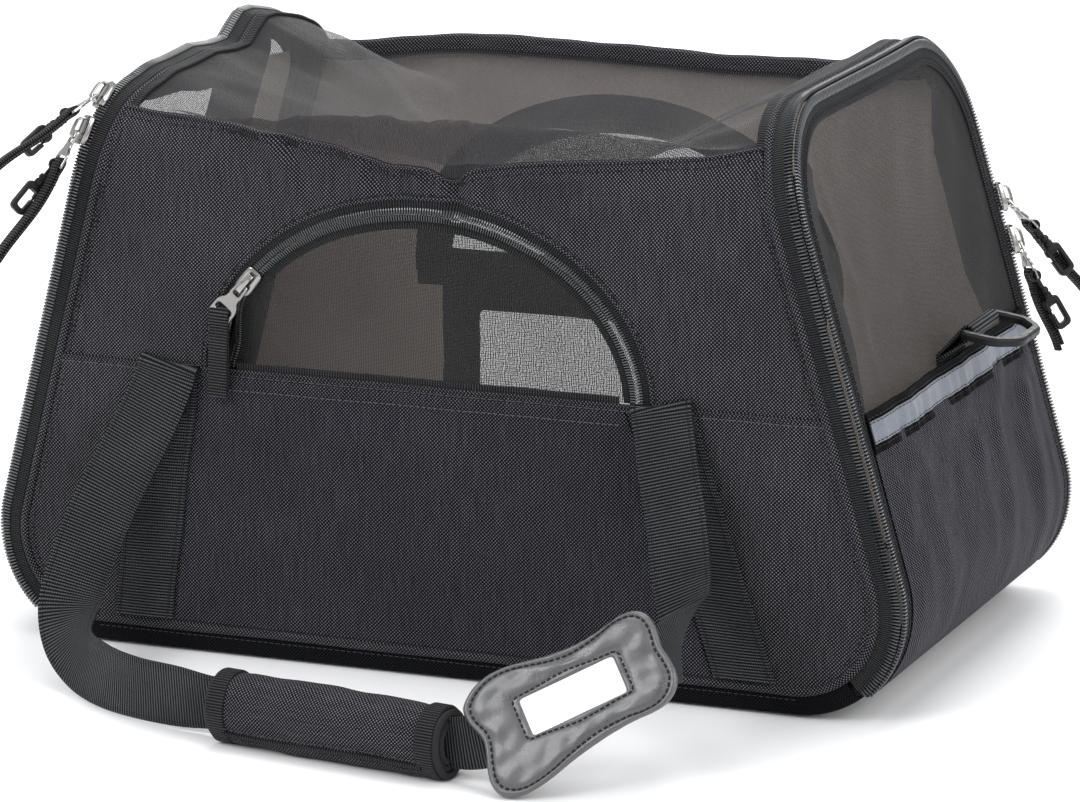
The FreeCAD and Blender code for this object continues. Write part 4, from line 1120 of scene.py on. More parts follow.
def shell_zip(name, side, part):
    mesh = Mesh()
    hoop_strip(mesh, side, [(3.0, -0.35), (5.2, -0.75), (12.2, -0.6), (12.4, 0.3), (3.0, 0.4)])
    hoop_strip(mesh, side, [(0.9, -0.3), (3.4, -0.55), (3.4, 0.35), (0.9, 0.3)])
    hoop_teeth(mesh, side, on_door=False)
    for depth, inset in ((4.7, -0.85), (10.2, -0.75)):
        hoop_stitch(mesh, side, ZIP_RUN, depth, inset, TUBE_FACE, 4, **ZIP_THREAD)
    if side < 0:
        # flap inside the rear half of the left zip
        flap = [(3.6, 0.5), (2.5, 1.0), (1.9, 4.0), (1.7, 9.0), (2.0, 9.0), (2.3, 4.0),
                (2.9, 1.5), (4.0, 0.5)]
        rear = np.linspace(HOOP_LENGTH / 2 - 10, HOOP_LENGTH - 6, 220)
        hoop_strip(mesh, side, flap, 3, rear)
    mesh.build(name, "shell", part, "zip", TAPE, COIL, THREAD_BLACK, LINING_DARK)


piping()
wires()
shell_zip("left_shell_zip", -1, None)
shell_zip("right_shell_zip", 1, "shell_zip_halves")

# ---- base -----------------------------------------------------------------------------
# y, z of the base cloth's turned-up edge
BASE_EDGE = [(127.5, 11.6), (127.9, 8), (127.4, 4.2), (126.3, 1.9), (124, 0.75), (118, 0.5)]


def base_path(along, depth):
    """x and z of the base, flat in the middle and bent up at the ends."""
    a = -pi / 2 + (np.abs(along) - FLAT_X) / R_BOTTOM
    bend = np.abs(along) > FLAT_X
    x = np.where(bend, FLAT_X + (R_BOTTOM - depth) * np.cos(a), np.abs(along))
    z = np.where(bend, R_BOTTOM + (R_BOTTOM - depth) * np.sin(a), depth)
    return np.sign(along) * x, z


def base():
    mesh = Mesh()
    bent = FLAT_X + 37
    along = np.concatenate([np.linspace(-bent, -FLAT_X, 26),
                            np.linspace(-FLAT_X, FLAT_X, 150)[1:-1],
                            np.linspace(FLAT_X, bent, 26)])
    flat = [(y, 0.45) for y in np.linspace(-105, 105, 16)]
    section = np.array([(-y, z) for y, z in BASE_EDGE] + flat + BASE_EDGE[::-1])
    x, z = base_path(along[:, None], section[None, :, 1])
    mesh.sheet(points(x, section[:, 0], z), 1.2,
               points(along[:, None], run(section)[None]), (0, 0, -1))
    for side in (FRONT, BACK):
        path = points(np.linspace(-FLAT_X, FLAT_X, 300), side * 127.95, 9.4)
        mesh.stitch(path, (0, side, 0), 2, radius=0.26)
    mesh.build("base_panel_cloth", "shell", "base_panel", "oxford",
               OXFORD_DARK, LINING_DARK, THREAD)
    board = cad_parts["base_board"].data.materials
    board.clear()
    board.append(BOARD)


base()

# ---- arched front door ----------------------------------------------------------------
SLIDER_RISE = (DOOR_SLIDER_Z - ARCH_Z) / ARCH_B     # slider's height as a share of the arch
SLIDER_SPAN = sqrt(1 - SLIDER_RISE ** 2)            # its reach to the left, likewise
SLIDER_TURN = acos(-SLIDER_SPAN)
ARCH_PITCH = 1.36
ARCH_TURNS = np.linspace(0.006, pi - 0.006, 2400)
ARCH_RUN = run(points(ARCH_A * np.cos(ARCH_TURNS), ARCH_B * np.sin(ARCH_TURNS)))


def arch_point(turn, gap, off, opening):
    """Point by the arch: gap outside it, off in front of the cloth. On the door (opening),
    the zip hangs open below the slider."""
    if opening:
        loose = ramp(SLIDER_TURN + 0.03, pi - 0.12, turn)
        loose = loose * (1 - 0.35 * ramp(pi - 0.2, pi, turn))
    else:
        loose = 0 * turn
    x = ARCH_X + (ARCH_A + gap) * np.cos(turn) + 5.5 * loose
    z = ARCH_Z + (ARCH_B + gap) * np.sin(turn)
    return points(x, front_y(x, np.maximum(z, 150)) - off + 5.0 * loose, z)


def arch_strip(mesh, outline, end, opening):
    """Tape round the arch; its outline is in (gap, off)."""
    outline = np.array(outline, float)
    turn = np.linspace(end, pi - end, 300)[:, None]
    rings = arch_point(turn, outline[:, 0], outline[:, 1], opening)
    mesh.tube(rings, points(run(outline)[None], turn * 100))


def arch_teeth(mesh, inner, first=0.0, last=1e9):
    def place(number, along, across, up):
        turn = np.interp((number + (0.5 if inner else 0)) * ARCH_PITCH + along,
                         ARCH_RUN, ARCH_TURNS)
        gap = (-1.75 + across) if inner else (1.75 - across)
        return arch_point(turn, gap, 0.5 + up, inner)
    numbers = np.arange(int(ARCH_RUN[-1] / ARCH_PITCH))
    at = numbers * ARCH_PITCH
    numbers = numbers[(at >= first) & (at <= last)]
    mesh.teeth(place, numbers, across=1.65, along=0.52, high=1.05)


def door_frame():
    mesh = Mesh()
    tape = [(1.2, 0.1), (3.2, 0.3), (9.6, -0.1), (9.6, -0.7), (1.2, -0.6)]
    arch_strip(mesh, tape, 0.004, False)
    arch_teeth(mesh, inner=False)
    turn = np.linspace(0.02, pi - 0.02, 400)
    mesh.stitch(arch_point(turn, 4.6, 0.32, False), (0, -1, 0), 2,
                radius=0.28, pitch=3.0, length=2.2)
    mesh.stitch(arch_point(turn, 9.8, 0.62, False), (0, -1, 0), 3,
                radius=0.27, pitch=3.1, length=2.3)
    mesh.build("front_door_frame", "shell", "front_door_frame_zip", "zip",
               TAPE, COIL, THREAD_BLACK, THREAD_BLACK)


def door_zip():
    mesh = Mesh()
    tape = [(-7.4, -0.2), (-3.2, 0.3), (-1.2, 0.1), (-1.2, -0.6), (-7.4, -0.9)]
    arch_strip(mesh, tape, 0.03, True)
    arch_teeth(mesh, True, 2.5, ARCH_RUN[-1] - 3)
    turn = np.linspace(0.04, pi - 0.04, 400)
    mesh.stitch(arch_point(turn, -4.6, 0.1, True), (0, -1, 0), 2,
                radius=0.28, pitch=3.0, length=2.2)
    mesh.build("front_door_zip", "front_door", "front_door_zip_half", "zip",
               TAPE, COIL, THREAD_BLACK)


def door_netting():
    """Netting from the arch down to a bound foot."""
    mesh = Mesh()
    edge = arch_point(np.linspace(0.022, pi - 0.022, 150), -6.4, -0.5, True)
    edge_x, edge_y, edge_z = (column[:, None] for column in edge.T)
    down = np.linspace(0, 1, 46)
    foot_x = np.linspace(edge[0, 0], edge[-1, 0], 150)[:, None]
    foot_y = front_y(foot_x, 151.2)
    x = edge_x * (1 - down) + foot_x * down
    z = edge_z * (1 - down) + 151.2 * down
    flat = edge_y * (1 - down) + (foot_y + 0.4) * down
    cloth_y = front_y(edge_x, np.maximum(edge_z, 150)) * (1 - down) + foot_y * down
    sag = np.sin(down * pi) * np.sin(np.linspace(0, pi, 150))[:, None]
    sag = sag * (2.0 + 1.1 * np.sin(x / 26 + 0.6) + 0.8 * np.sin((x + z) / 17))
    y = flat + front_y(x, np.maximum(z, 150)) - cloth_y + sag
    mesh.add(points(x, y, z), grid(150, 46), points(x, z))
    x = np.linspace(-106, 100, 200)
    path = points(x, front_y(x, 152.0) + 0.2, 152.2)
    mesh.cord(path, (0, -1, 0), rounded_rect(2.2, 0.8, 0.6, 2), 1)
    mesh.build("front_door_netting", "front_door", "front_door_mesh", "mesh", NET, BIND)


door_frame()
door_zip()
door_netting()

# ---- end doors ------------------------------------------------------------------------
SPLIT_RISE, POCKET_RISE, TAPE_RISE, BINDING_RISE = (
    z / COS + SLOPE_SHIFT for z in (141.0, 152.0, 142.2, 150))
NET_TOP_RISE = CORNER_RISE_UP + R_TOP - 11.6
POCKET_HALF = HALF_DEPTH - 12.6
# y0, rise0, y1, rise1, half width, height
END_FOLDS = {
    1: [(-100, 262, -70, 238, 7, 1.4), (-86, 300, -78, 170, 6, 1.1), (-98, 282, -88, 262, 3, 2),
        (70, 290, 30, 200, 14, -1.6), (20, 320, -20, 220, 22, 1.4), (96, 240, 60, 180, 12, 1.4)],
    -1: [(-80, 300, -60, 180, 10, 1.6), (60, 290, 30, 190, 14, -1.4), (0, 320, 10, 220, 20, 1.5)]}
POCKET_FOLDS = [
    (-70, 150, -60, 60, 9, 2.4), (-30, 150, -52, 50, 10, -2.0), (34, 150, 20, 40, 9, 2.6),
    (58, 150, 66, 70, 8, -2.0), (84, 150, 74, 60, 8, 2.4), (100, 140, 92, 50, 6, -1.4),
    (4, 148, 0, 90, 7, 1.6), (-95, 145, -88, 70, 7, 1.4)]


def end_half(rise, inset):
    """Half width of an end face, inset inside its hoop."""
    reach = (R_TOP - inset) ** 2 - (rise - CORNER_RISE_UP) ** 2
    return np.where(rise < CORNER_RISE_UP, HALF_DEPTH - inset,
                    CORNER_Y + np.sqrt(np.clip(reach, 0, None)))


def end_surface(side, rise, columns, inset, depth):
    """Points and UVs over an end face; depth is a function of rise, y and half width."""
    half = end_half(rise, inset)
    y = np.linspace(-1, 1, columns)[:, None] * half[None]
    return end_point(rise, y, depth(rise, y, half), side), points(y, rise)


def outwards(side):
    return (side, 0, 0.25)


def end_zip(side, name):
    mesh = Mesh()
    tape = [(-0.35, 3.0), (-0.75, 5.2), (-0.6, 12.4), (0.35, 12.6), (0.4, 3.0)]
    hoop_strip(mesh, side, tape, flip=True)
    hoop_teeth(mesh, side, on_door=True)
    for inset, depth in ((4.9, -0.85), (9.8, -0.75)):
        hoop_stitch(mesh, side, ZIP_RUN, depth, inset, END_FACE, 4, **ZIP_THREAD)
    mesh.build(name + "_door_zip", name + "_door", name + "_door_zip_half", "zip",
               TAPE, COIL, THREAD_BLACK)


def facing(mesh, side, along, width, dip, slant, uv_width):
    """Dark cloth inside the door, following its hoop."""
    share = np.linspace(0, 1, 14)[None]
    depth = 0.75 + dip * np.minimum(share * 4, 1) + slant * share
    strip = hoop_point(along[:, None], depth, 9.8 + share * width[:, None], side)
    mesh.add(strip, grid(len(along), 14, flip=side < 0),
             points(share * uv_width, along[:, None]), 3)


def left_facings(mesh):
    """Facings only the left door has: along its top and over its rear half."""
    along = np.linspace(LEG + ARC * 0.3, HOOP_LENGTH / 2 + 34, 130)
    width = np.interp(along - LEG - ARC - CORNER_Y, [-108, -67, 0, 40], [4, 11, 19, 22])
    facing(mesh, -1, along, width, dip=2.6, slant=0.0, uv_width=20)
    # from y, to y, top above the corner centres, material slot
    for y0, y1, above, slot in ((9.0, 74.0, R_TOP - 10.4, 3), (73.5, 130.0, 34.0, 4)):
        rise = np.linspace(SPLIT_RISE + 2, CORNER_RISE_UP + above, 70)
        half = end_half(rise, 10.2)
        share = np.linspace(0, 1, 24)[:, None]
        y = y0 + np.sin(rise / 19.0) * (1 - share) + share * (np.minimum(y1, half) - y0)
        inside = np.clip((half - y) / 12, 0, 1) * np.clip((rise[-1] - rise) / 12 + 0.1, 0, 1)
        mesh.add(end_point(rise, y, 0.8 + 3.4 * inside, -1), grid(24, 70, flip=True),
                 points(y, rise), slot)


def end_netting(side, name):
    def depth(rise, y, half):
        edge = np.minimum(half - np.abs(y),
                          np.minimum(NET_TOP_RISE - rise, rise - SPLIT_RISE + 3))
        waves = ripple(y, rise, seed=31 + side, height=0.7, scale=60)
        relief = 2.2 * ramp(0, 55, edge) - folds(y, rise, END_FOLDS[side]) + waves
        return 0.2 + ramp(0, 16, edge) * relief

    mesh = Mesh()
    crown = 1 - np.sin(np.linspace(0, pi / 2, 26)[1:])
    rise = np.concatenate([np.linspace(SPLIT_RISE - 1, CORNER_RISE_UP, 46),
                           NET_TOP_RISE - (NET_TOP_RISE - CORNER_RISE_UP) * crown])
    rise[-1] = NET_TOP_RISE - 0.03
    surface, uv = end_surface(side, rise, 120, 11.6, depth)
    mesh.add(surface, grid(120, len(rise), flip=side < 0), uv)
    # binding over the edge of the tape
    along = np.linspace(0, HOOP_LENGTH, 420)
    along = along[np.minimum(along, HOOP_LENGTH - along) > BINDING_RISE - FOOT_RISE]
    binding = [(-0.9, 10.9), (-1.15, 12.4), (-0.8, 14.0), (0.5, 14.0), (0.9, 12.4), (0.5, 10.9)]
    hoop_strip(mesh, side, binding, 1, along, flip=True)
    # facings down the front edge, and down the rear edge of the right door
    corner = LEG + ARC * 0.62
    spans = [(along[0], corner)]
    if side > 0:
        spans.append((HOOP_LENGTH - corner, along[-1]))
    for start, end in spans:
        part = np.linspace(start, end, 150)
        wave = 0.7 * np.sin(part / 24.0) + 0.6 * np.sin(part / 41.0 + side)
        taper = np.clip(np.minimum(part - start + 30, end - part + 30) / 60, 0, 1)
        width = np.where(part < HOOP_LENGTH / 2, 24.0, 44.0) * (0.45 + 0.55 * taper)
        facing(mesh, side, part, width + 2.6 + wave, dip=3.2, slant=1.0, uv_width=40)
    if side < 0:
        left_facings(mesh)
    hoop_stitch(mesh, side, along, -1.15, 12.0, END_FACE, 2, slot=2, radius=0.26)
    mesh.build(name + "_door_netting", name + "_door", name + "_door_mesh", "mesh",
               NET, BIND, THREAD_BLACK, LINING_DARK, LINING)


def end_lower(side, name):
    def depth(rise, y, half):
        waves = ripple(y, rise, seed=41, height=0.25, scale=70)
        return waves * ramp(0, 12, half - np.abs(y))

    mesh = Mesh()
    rise = np.linspace(FOOT_RISE + 0.6, SPLIT_RISE, 60)
    surface, uv = end_surface(side, rise, 100, 11.8, depth)
    mesh.sheet(surface, 0.9, uv, outwards(side))
    mesh.build(name + "_door_lower_cloth", name + "_door", name + "_door_lower_panel", "oxford",
               OXFORD, LINING)


def end_pocket(side, name):
    """Slack pocket: cloth on the right door, netting on the left."""
    def depth(rise, y, half):
        edge = half - np.abs(y)
        free = ramp(0, 14, edge) * ramp(FOOT_RISE + 3, FOOT_RISE + 26, rise)
        high = ramp(FOOT_RISE + 10, POCKET_RISE - 12, rise)
        loose = 0.0
        if side < 0:
            loose = (9.0 * ramp(FOOT_RISE + 20, POCKET_RISE - 40, rise)
                     * ramp(POCKET_RISE - 8, POCKET_RISE - 60, rise) * ramp(0, 26, edge))
        bulge = 1.6 + 3.4 * np.cos(np.clip(y / 116, -1, 1) * pi / 2) * high
        relief = (folds(y, rise, POCKET_FOLDS) * (0.35 + 0.65 * high)
                  + ripple(y, rise, seed=51 + side, height=0.8, scale=34) * high)
        return -1.5 - loose - free * (bulge + relief)

    mesh = Mesh()
    rise = np.linspace(FOOT_RISE + 3.5, POCKET_RISE - 16, 70)
    surface, uv = end_surface(side, rise, 150, 12.6, depth)
    if side > 0:
        mesh.sheet(surface, 0.8, uv, outwards(side), inner=0)
    else:
        mesh.add(surface, grid(150, len(rise), flip=True), uv)
    mesh.build(name + "_pocket_cloth", name + "_door", name + "_pocket",
               "oxford" if side > 0 else "mesh", POCKET if side > 0 else NET)


def edge_depth(rise, y, half=POCKET_HALF):
    """Depth of the pocket's gathered elastic edge."""
    free = ramp(0, 12, half - np.abs(y))
    bulge = 1.5 + 3.2 * np.cos(np.clip(y / 116, -1, 1) * pi / 2)
    gathers = 0.35 * np.sin(y / 1.9 + 1.5 * np.sin(y / 11))
    gathers = gathers * ramp(POCKET_RISE, POCKET_RISE - 12, rise)
    return -2.1 - free * (bulge + 0.8 * folds(y, 148, POCKET_FOLDS) + gathers)


def pocket_edge(side, name):
    mesh = Mesh()
    rise = np.concatenate([np.linspace(POCKET_RISE - 20.5, POCKET_RISE - 1, 22),
                           [POCKET_RISE - 0.4, POCKET_RISE]])
    surface, uv = end_surface(side, rise, 420, 12.6, edge_depth)
    mesh.sheet(surface, 1.5, uv, outwards(side), inner=0)
    y = np.linspace(-1, 1, 400) * (HALF_DEPTH - 14)
    for below in (17.5, 3.0):
        rise = POCKET_RISE - below
        path = end_point(rise, y, edge_depth(rise, y) - 0.15, side)
        mesh.stitch(path, outwards(side), 1, radius=0.26)
    mesh.build(name + "_pocket_edge", name + "_door", name + "_pocket_binding", "oxford",
               OXFORD_DARK if side > 0 else BIND, THREAD_BLACK)


def reflective_tape(side, name):
    mesh = Mesh()
    rise = np.linspace(TAPE_RISE - 5.6, TAPE_RISE + 5.6, 12)
    y = np.linspace(-1, 1, 300) * (HALF_DEPTH - 13.2)
    column = y[:, None]
    surface = end_point(rise, column, edge_depth(rise, column) - 0.75, side)
    mesh.sheet(surface, 0.6, points(column, rise), outwards(side), inner=0)
    for shift in (-4.7, 4.7):
        rise = TAPE_RISE + shift
        path = end_point(rise, y, edge_depth(rise, y) - 0.8, side)
        mesh.stitch(path, outwards(side), 1, radius=0.24)
    mesh.build(name + "_reflective_tape", name + "_door", name + "_reflective_strip",
               "reflective", REFLECT, THREAD_BLACK)


UP_RIGHT, UP_LEFT = np.array([-SIN, 0, COS]), np.array([SIN, 0, COS])
OUT_RIGHT = np.array([COS, 0, SIN])
RING_BAR = slope_at(153.0, 8.0) + 6.4 * OUT_RIGHT + (11.0, 0, 14.5)   # centre of the ring's bar


def ring_webbing(side, name):
    """Webbing loop round the ring's bar, standing up from behind the pocket's edge."""
    foot = slope_at(154.6, 8.0) + 1.6 * OUT_RIGHT
    leg = unit(RING_BAR - foot)
    across = np.cross([0, 1.0, 0], leg)

    def sewn(down, deep, shift):
        return foot - UP_RIGHT * down - OUT_RIGHT * deep + across * shift

    def on_leg(up, shift):
        return foot + leg * up + across * shift

    path = [sewn(16, 0.7, 0.2), sewn(7, 0.5, 0.3), on_leg(1.0, 0.9), on_leg(9, 2.0)]
    for a in np.linspace(-0.15, pi + 0.15, 14):
        path.append(RING_BAR + leg * sin(a) * 3.25 + across * cos(a) * 3.25)
    path += [on_leg(9, -1.6), on_leg(1.0, -1.0), sewn(7, 0.9, -0.7), sewn(16, 0.9, -0.6)]
    mesh = Mesh()
    mesh.band(resample(path, 1.2) * (side, 1, 1), (0, 1, 0), rounded_rect(18.6, 0.72, 0.5, 2))
    mesh.build(name + "_ring_webbing", name + "_door", name + "_ring_loop", "webbing", WEB)


def d_ring(side, name):
    """Trapezoid ring, rounded and bevelled."""
    droop = radians(8)
    axes = Local(RING_BAR, (cos(droop), 0, -sin(droop)), (sin(droop), 0, cos(droop)))
    corners = [(0.4, -23.1), (0.4, 23.1), (15.6, 23.1), (25.4, 13.4), (25.4, -13.4),
               (15.6, -23.1)]
    line = round_corners(corners, [1.5, 1.5, 3.6, 3.6, 3.6, 3.6], 9)
    line = resample(np.concatenate([line, line[:1]]), 1.1)[:-1]
    path = axes(points(line[:, 0], line[:, 1], 0.0))
    along = unit(np.roll(path, -1, 0) - np.roll(path, 1, 0))
    normal = np.tile(axes.z, (len(path), 1))
    on_bar = (np.abs(line[:, 1]) < 20.0) & (line[:, 0] < 2)
    section = [(2.5, -1.5), (2.5, 0.9), (1.5, 2.1), (-1.5, 2.1), (-2.5, 0.9), (-2.5, -1.5),
               (-1.9, -2.1), (1.9, -2.1)]
    rings = rings_along(path, np.cross(along, normal), normal, section,
                        np.where(on_bar, 0.86, 1.0))
    mesh = Mesh()
    mesh.add(rings * (side, 1, 1), grid(len(path), len(section), True, True, flip=side < 0))
    mesh.build(name + "_d_ring_moulded", name + "_ring", name + "_d_ring", "black_plastic",
               PLASTIC, angle=28)


END_PARTS = (end_zip, end_netting, end_lower, end_pocket, pocket_edge, reflective_tape,
             ring_webbing, d_ring)
for side, name in ((1, "right"), (-1, "left")):
    for make in END_PARTS:
        make(side, name)


# ---- floor pad: two layers of fleece blown up by cloth simulation ---------------------
PAD_ROWS, PAD_COLS = 84, 50
PAD_A, PAD_B, PAD_CORNER = 201, 115.5, 24
PAD_Z, PAD_PUFF = 14.0, 5.6             # height of its middle, half thickness at the start
PAD_REST = 0.0066                       # the base board's top, in metres
PAD_FRAMES = 14


def inflate(obj, pins):
    """Blow up the pad under pressure, held by its pinned vertices."""
    group = obj.vertex_groups.new(name="pin")
    group.add([int(i) for i in pins], 1.0, "REPLACE")
    modifier = obj.modifiers.new("cloth", "CLOTH")
    settings = modifier.settings
    settings.quality = 5
    settings.mass = 0.15
    settings.tension_stiffness = settings.compression_stiffness = 18
    settings.shear_stiffness = 8
    settings.bending_stiffness = 0.35
    settings.vertex_group_mass = "pin"
    settings.use_pressure = True
    settings.uniform_pressure_force = 1.6
    settings.shrink_min = -0.02
    settings.effector_weights.gravity = 0.15
    settings.air_damping = 2.0
    cache, scene = modifier.point_cache, bpy.context.scene
    cache.frame_start, cache.frame_end = 1, PAD_FRAMES
    scene.frame_start, scene.frame_end = 1, PAD_FRAMES
    for number in range(1, PAD_FRAMES + 1):
        scene.frame_set(number)
    result = obj.evaluated_get(bpy.context.evaluated_depsgraph_get())
    coords = np.zeros(len(result.data.vertices) * 3, np.float32)
    result.data.vertices.foreach_get("co", coords)
    obj.modifiers.remove(modifier)
    coords[2::3] = np.maximum(coords[2::3], PAD_REST)
    obj.data.vertices.foreach_set("co", coords)
    obj.data.update()
    scene.frame_set(1)


def floor_pad():
    u, v = np.meshgrid(np.linspace(-1, 1, PAD_ROWS), np.linspace(-1, 1, PAD_COLS), indexing="ij")
    # rectangle with the parts beyond the straight edges drawn into round corners
    x, y = np.abs(u * PAD_A), np.abs(v * PAD_B)
    straight_x, straight_y = PAD_A - PAD_CORNER, PAD_B - PAD_CORNER
    over_x, over_y = np.maximum(x - straight_x, 0), np.maximum(y - straight_y, 0)
    reach = np.hypot(over_x, over_y)
    pull = np.where(reach > 0, np.maximum(over_x, over_y) / np.maximum(reach, 1e-6), 1)
    x = np.sign(u) * (np.minimum(x, straight_x) + over_x * pull)
    y = np.sign(v) * (np.minimum(y, straight_y) + over_y * pull)
    edge = np.minimum((1 - np.abs(u)) * PAD_A, (1 - np.abs(v)) * PAD_B)
    height = np.sqrt(1 - (1 - np.clip(edge / 9, 0, 1)) ** 2) * PAD_PUFF
    # the bottom shares the rim's vertices with the top
    rim = (np.abs(u) == 1) | (np.abs(v) == 1)
    inner = ~rim.ravel()
    top = np.arange(rim.size).reshape(rim.shape)
    bottom = np.where(rim, top, np.cumsum(inner).reshape(rim.shape) - 1 + rim.size)
    upper = points(x, y, PAD_Z + height).reshape(-1, 3)
    lower = points(x, y, PAD_Z - height).reshape(-1, 3)[inner]
    quads = grid(PAD_ROWS, PAD_COLS)
    uv = points(x, y).reshape(-1, 2)
    mesh = Mesh()
    mesh.add(np.concatenate([upper, lower]),
             np.concatenate([quads, bottom.ravel()[quads][:, ::-1]]),
             np.concatenate([uv, uv[inner]]))
    obj = mesh.build("floor_pad_fleece", "shell", "floor_pad", "fleece", FLEECE, angle=0)
    tufts = [layer[i, j] for layer in (top, bottom)
             for i in (PAD_ROWS // 4, PAD_ROWS // 2, 3 * PAD_ROWS // 4)
             for j in (PAD_COLS // 3, 2 * PAD_COLS // 3)]
    inflate(obj, list(top[rim]) + tufts)


floor_pad()


# ---- zip sliders, pull tabs, webbing pulls and snap clips -----------------------------
def polar_loop(outline, centre, count):
    """Points of a closed outline along even directions from centre."""
    outline = np.asarray(outline, float) - centre
    edges = np.roll(outline, -1, 0) - outline
    loop = []
    for a in np.arange(count) * 2 * pi / count:
        ray = np.array([cos(a), sin(a)])
        cross = ray[0] * edges[:, 1] - ray[1] * edges[:, 0]
        # an edge parallel to the ray divides by zero; it is left out below
        with np.errstate(divide="ignore", invalid="ignore"):
            far = (outline[:, 0] * edges[:, 1] - outline[:, 1] * edges[:, 0]) / cross
            share = (outline[:, 0] * ray[1] - outline[:, 1] * ray[0]) / cross
        hit = (np.abs(cross) > 1e-12) & (far > 0) & (share >= -1e-6) & (share <= 1 + 1e-6)
        loop.append(ray * far[hit].max())
    return np.array(loop) + centre


def plate_rings(outer, inner, centre, half, bevel, count):
    """Sections of a flat bevelled plate with a hole."""
    centre = np.asarray(centre, float)
    outer, inner = polar_loop(outer, centre, count), polar_loop(inner, centre, count)
    outer_in = outer - unit(outer - centre) * bevel
    inner_out = inner + unit(inner - centre) * bevel
    side = half - bevel
    loops = [(outer, -side), (outer, side), (outer_in, half), (inner_out, half),
             (inner, side), (inner, -side), (inner_out, -half), (outer_in, -half)]
    return np.stack([points(loop[:, 0], loop[:, 1], z) for loop, z in loops], 1)


def add_plate(mesh, axes, outer, inner, centre, half, bevel, count=72):
    rings = plate_rings(outer, inner, centre, half, bevel, count)
    mesh.add(axes(rings), grid(count, 8, True, True))


def add_rod(mesh, axes, path, outline, scale=1.0):
    count = len(path)
    mesh.sweep(axes(path), np.tile(axes.y, (count, 1)), np.tile(axes.z, (count, 1)), outline,
               scale=scale)


# x, half width per 5 mm, share of the height
SLIDER_SECTIONS = np.array([
    (-7.9, 1.6, .5), (-7.6, 2.7, .75), (-6.9, 3.6, .9), (-5.6, 4.5, 1), (-4, 4.9, 1), (-2, 5, 1),
    (0, 4.95, 1), (2, 4.9, 1), (4, 4.8, 1), (5.6, 4.6, 1), (6.9, 4.3, .9), (7.5, 3.7, .75),
    (7.8, 2.6, .5)])
# x, z above the slider's underside
SLIDER_BRIDGE = np.array([(-5.9, 1.2), (-5.9, 4.6), (-4.6, 5.9), (0, 6), (3.4, 5.6), (5.3, 3.9),
                          (5.7, 1.2)])


def slider(name, part, axes, base_z, width):
    mesh = Mesh()
    x, half, height = SLIDER_SECTIONS.T
    half = half / 5 * (width / 2)
    outline = rounded_rect(1.0, 1.0, 0.5, 3)
    z = outline[:, 1] * 0.85 * height[:, None] + base_z + 0.85
    mesh.tube(axes(points(x[:, None], outline[:, 0] * half[:, None], z)), flip=True)
    x, half = x[2:-2], half[2:-2]
    for hand in (-1, 1):
        # flange that clasps the coil, and a rib on top
        path = points(x, hand * (half - 0.25), base_z - 0.3)
        add_rod(mesh, axes, path, rounded_rect(0.45, 1.25, 0.35, 2))
        path = points(x, hand * (half * 0.45), base_z + 1.75)
        add_rod(mesh, axes, path, circle(0.32, 6))
    t, knots = np.linspace(0, 1, 22), np.linspace(0, 1, 7)
    path = points(np.interp(t, knots, SLIDER_BRIDGE[:, 0]), 0.0,
                  np.interp(t, knots, base_z + SLIDER_BRIDGE[:, 1]))
    mesh.band(axes(path), axes.y, rounded_rect(1.55, 0.5, 0.25, 2))
    mesh.build(name, part, part, "nickel", NICKEL, angle=30)


def pull_tab(prefix, axes, half, slot_half):
    mesh = Mesh()
    eye = round_corners([(-1.7, -3.1), (6.9, -3.7), (6.9, 3.7), (-1.7, 3.1)], 1.6)
    eye_hole = round_corners([(-0.2, -1.9), (5.4, -2.1), (5.4, 2.1), (-0.2, 1.9)], 0.9)
    add_plate(mesh, axes, eye, eye_hole, (2.6, 0), half=0.62, bevel=0.2)
    body = round_corners([(6.0, -3.4), (8.6, -3.6), (12.4, -half), (20.6, -half), (20.6, half),
                          (12.4, half), (8.6, 3.6), (6.0, 3.4)], 2.0)
    opening = round_corners([(13.2, -slot_half), (17.4, -slot_half), (17.4, slot_half),
                             (13.2, slot_half)], 1.9)
    add_plate(mesh, axes, body, opening, (15.3, 0), half=0.7, bevel=0.25, count=96)
    # raised rib down the neck
    add_rod(mesh, axes, points(np.linspace(7, 12.2, 8), 0.0, 0.75), circle(0.55, 8),
            scale=np.sin(np.linspace(0.4, pi - 0.4, 8)))
    mesh.build(prefix + "_tab", prefix + "_pull", prefix + "_pull_tab", "nickel", NICKEL,
               angle=30)


# x, z where the webbing turns through the tab's slot
STRAP_TURN = [(20.6, 1.5), (18.6, 1.55), (16.6, 1.3), (15.4, 0.7), (15.0, 0.0), (15.4, -0.7),
              (16.6, -1.3), (18.6, -1.55), (20.6, -1.5)]


def strap_pull(prefix, axes, y, half, length, bend, wave):
    """Narrow webbing, folded through the slot and sewn to itself."""
    def curve(x):
        share = np.clip((x - 20) / (length - 6), 0, 1)
        return bend * share * share + wave * np.sin(share * pi * 1.6)

    mesh = Mesh()
    upper, lower = np.linspace(length + 14.4, 23, 26), np.linspace(23, length + 12.0, 26)
    path = np.concatenate([points(upper, 1.05 + curve(upper)), STRAP_TURN,
                           points(lower, -1.05 + curve(lower))])
    path = resample(path, 0.9)
    mesh.band(axes(points(path[:, 0], y, path[:, 1])), axes.y, rounded_rect(half, 0.85, 0.5, 2))
    across = y + np.linspace(-half + 1, half - 1, 9)
    for x in (25.5, 28.5):
        for face in (1, -1):
            mesh.stitch(axes(points(x, across, face * 1.95 + curve(x))), axes.z * face, 1,
                        radius=0.25, pitch=1.7, length=1.3)
    mesh.build(prefix + "_webbing", prefix + "_pull", prefix + "_webbing_pull", "webbing",
               WEB_NARROW, THREAD_BLACK, angle=45)


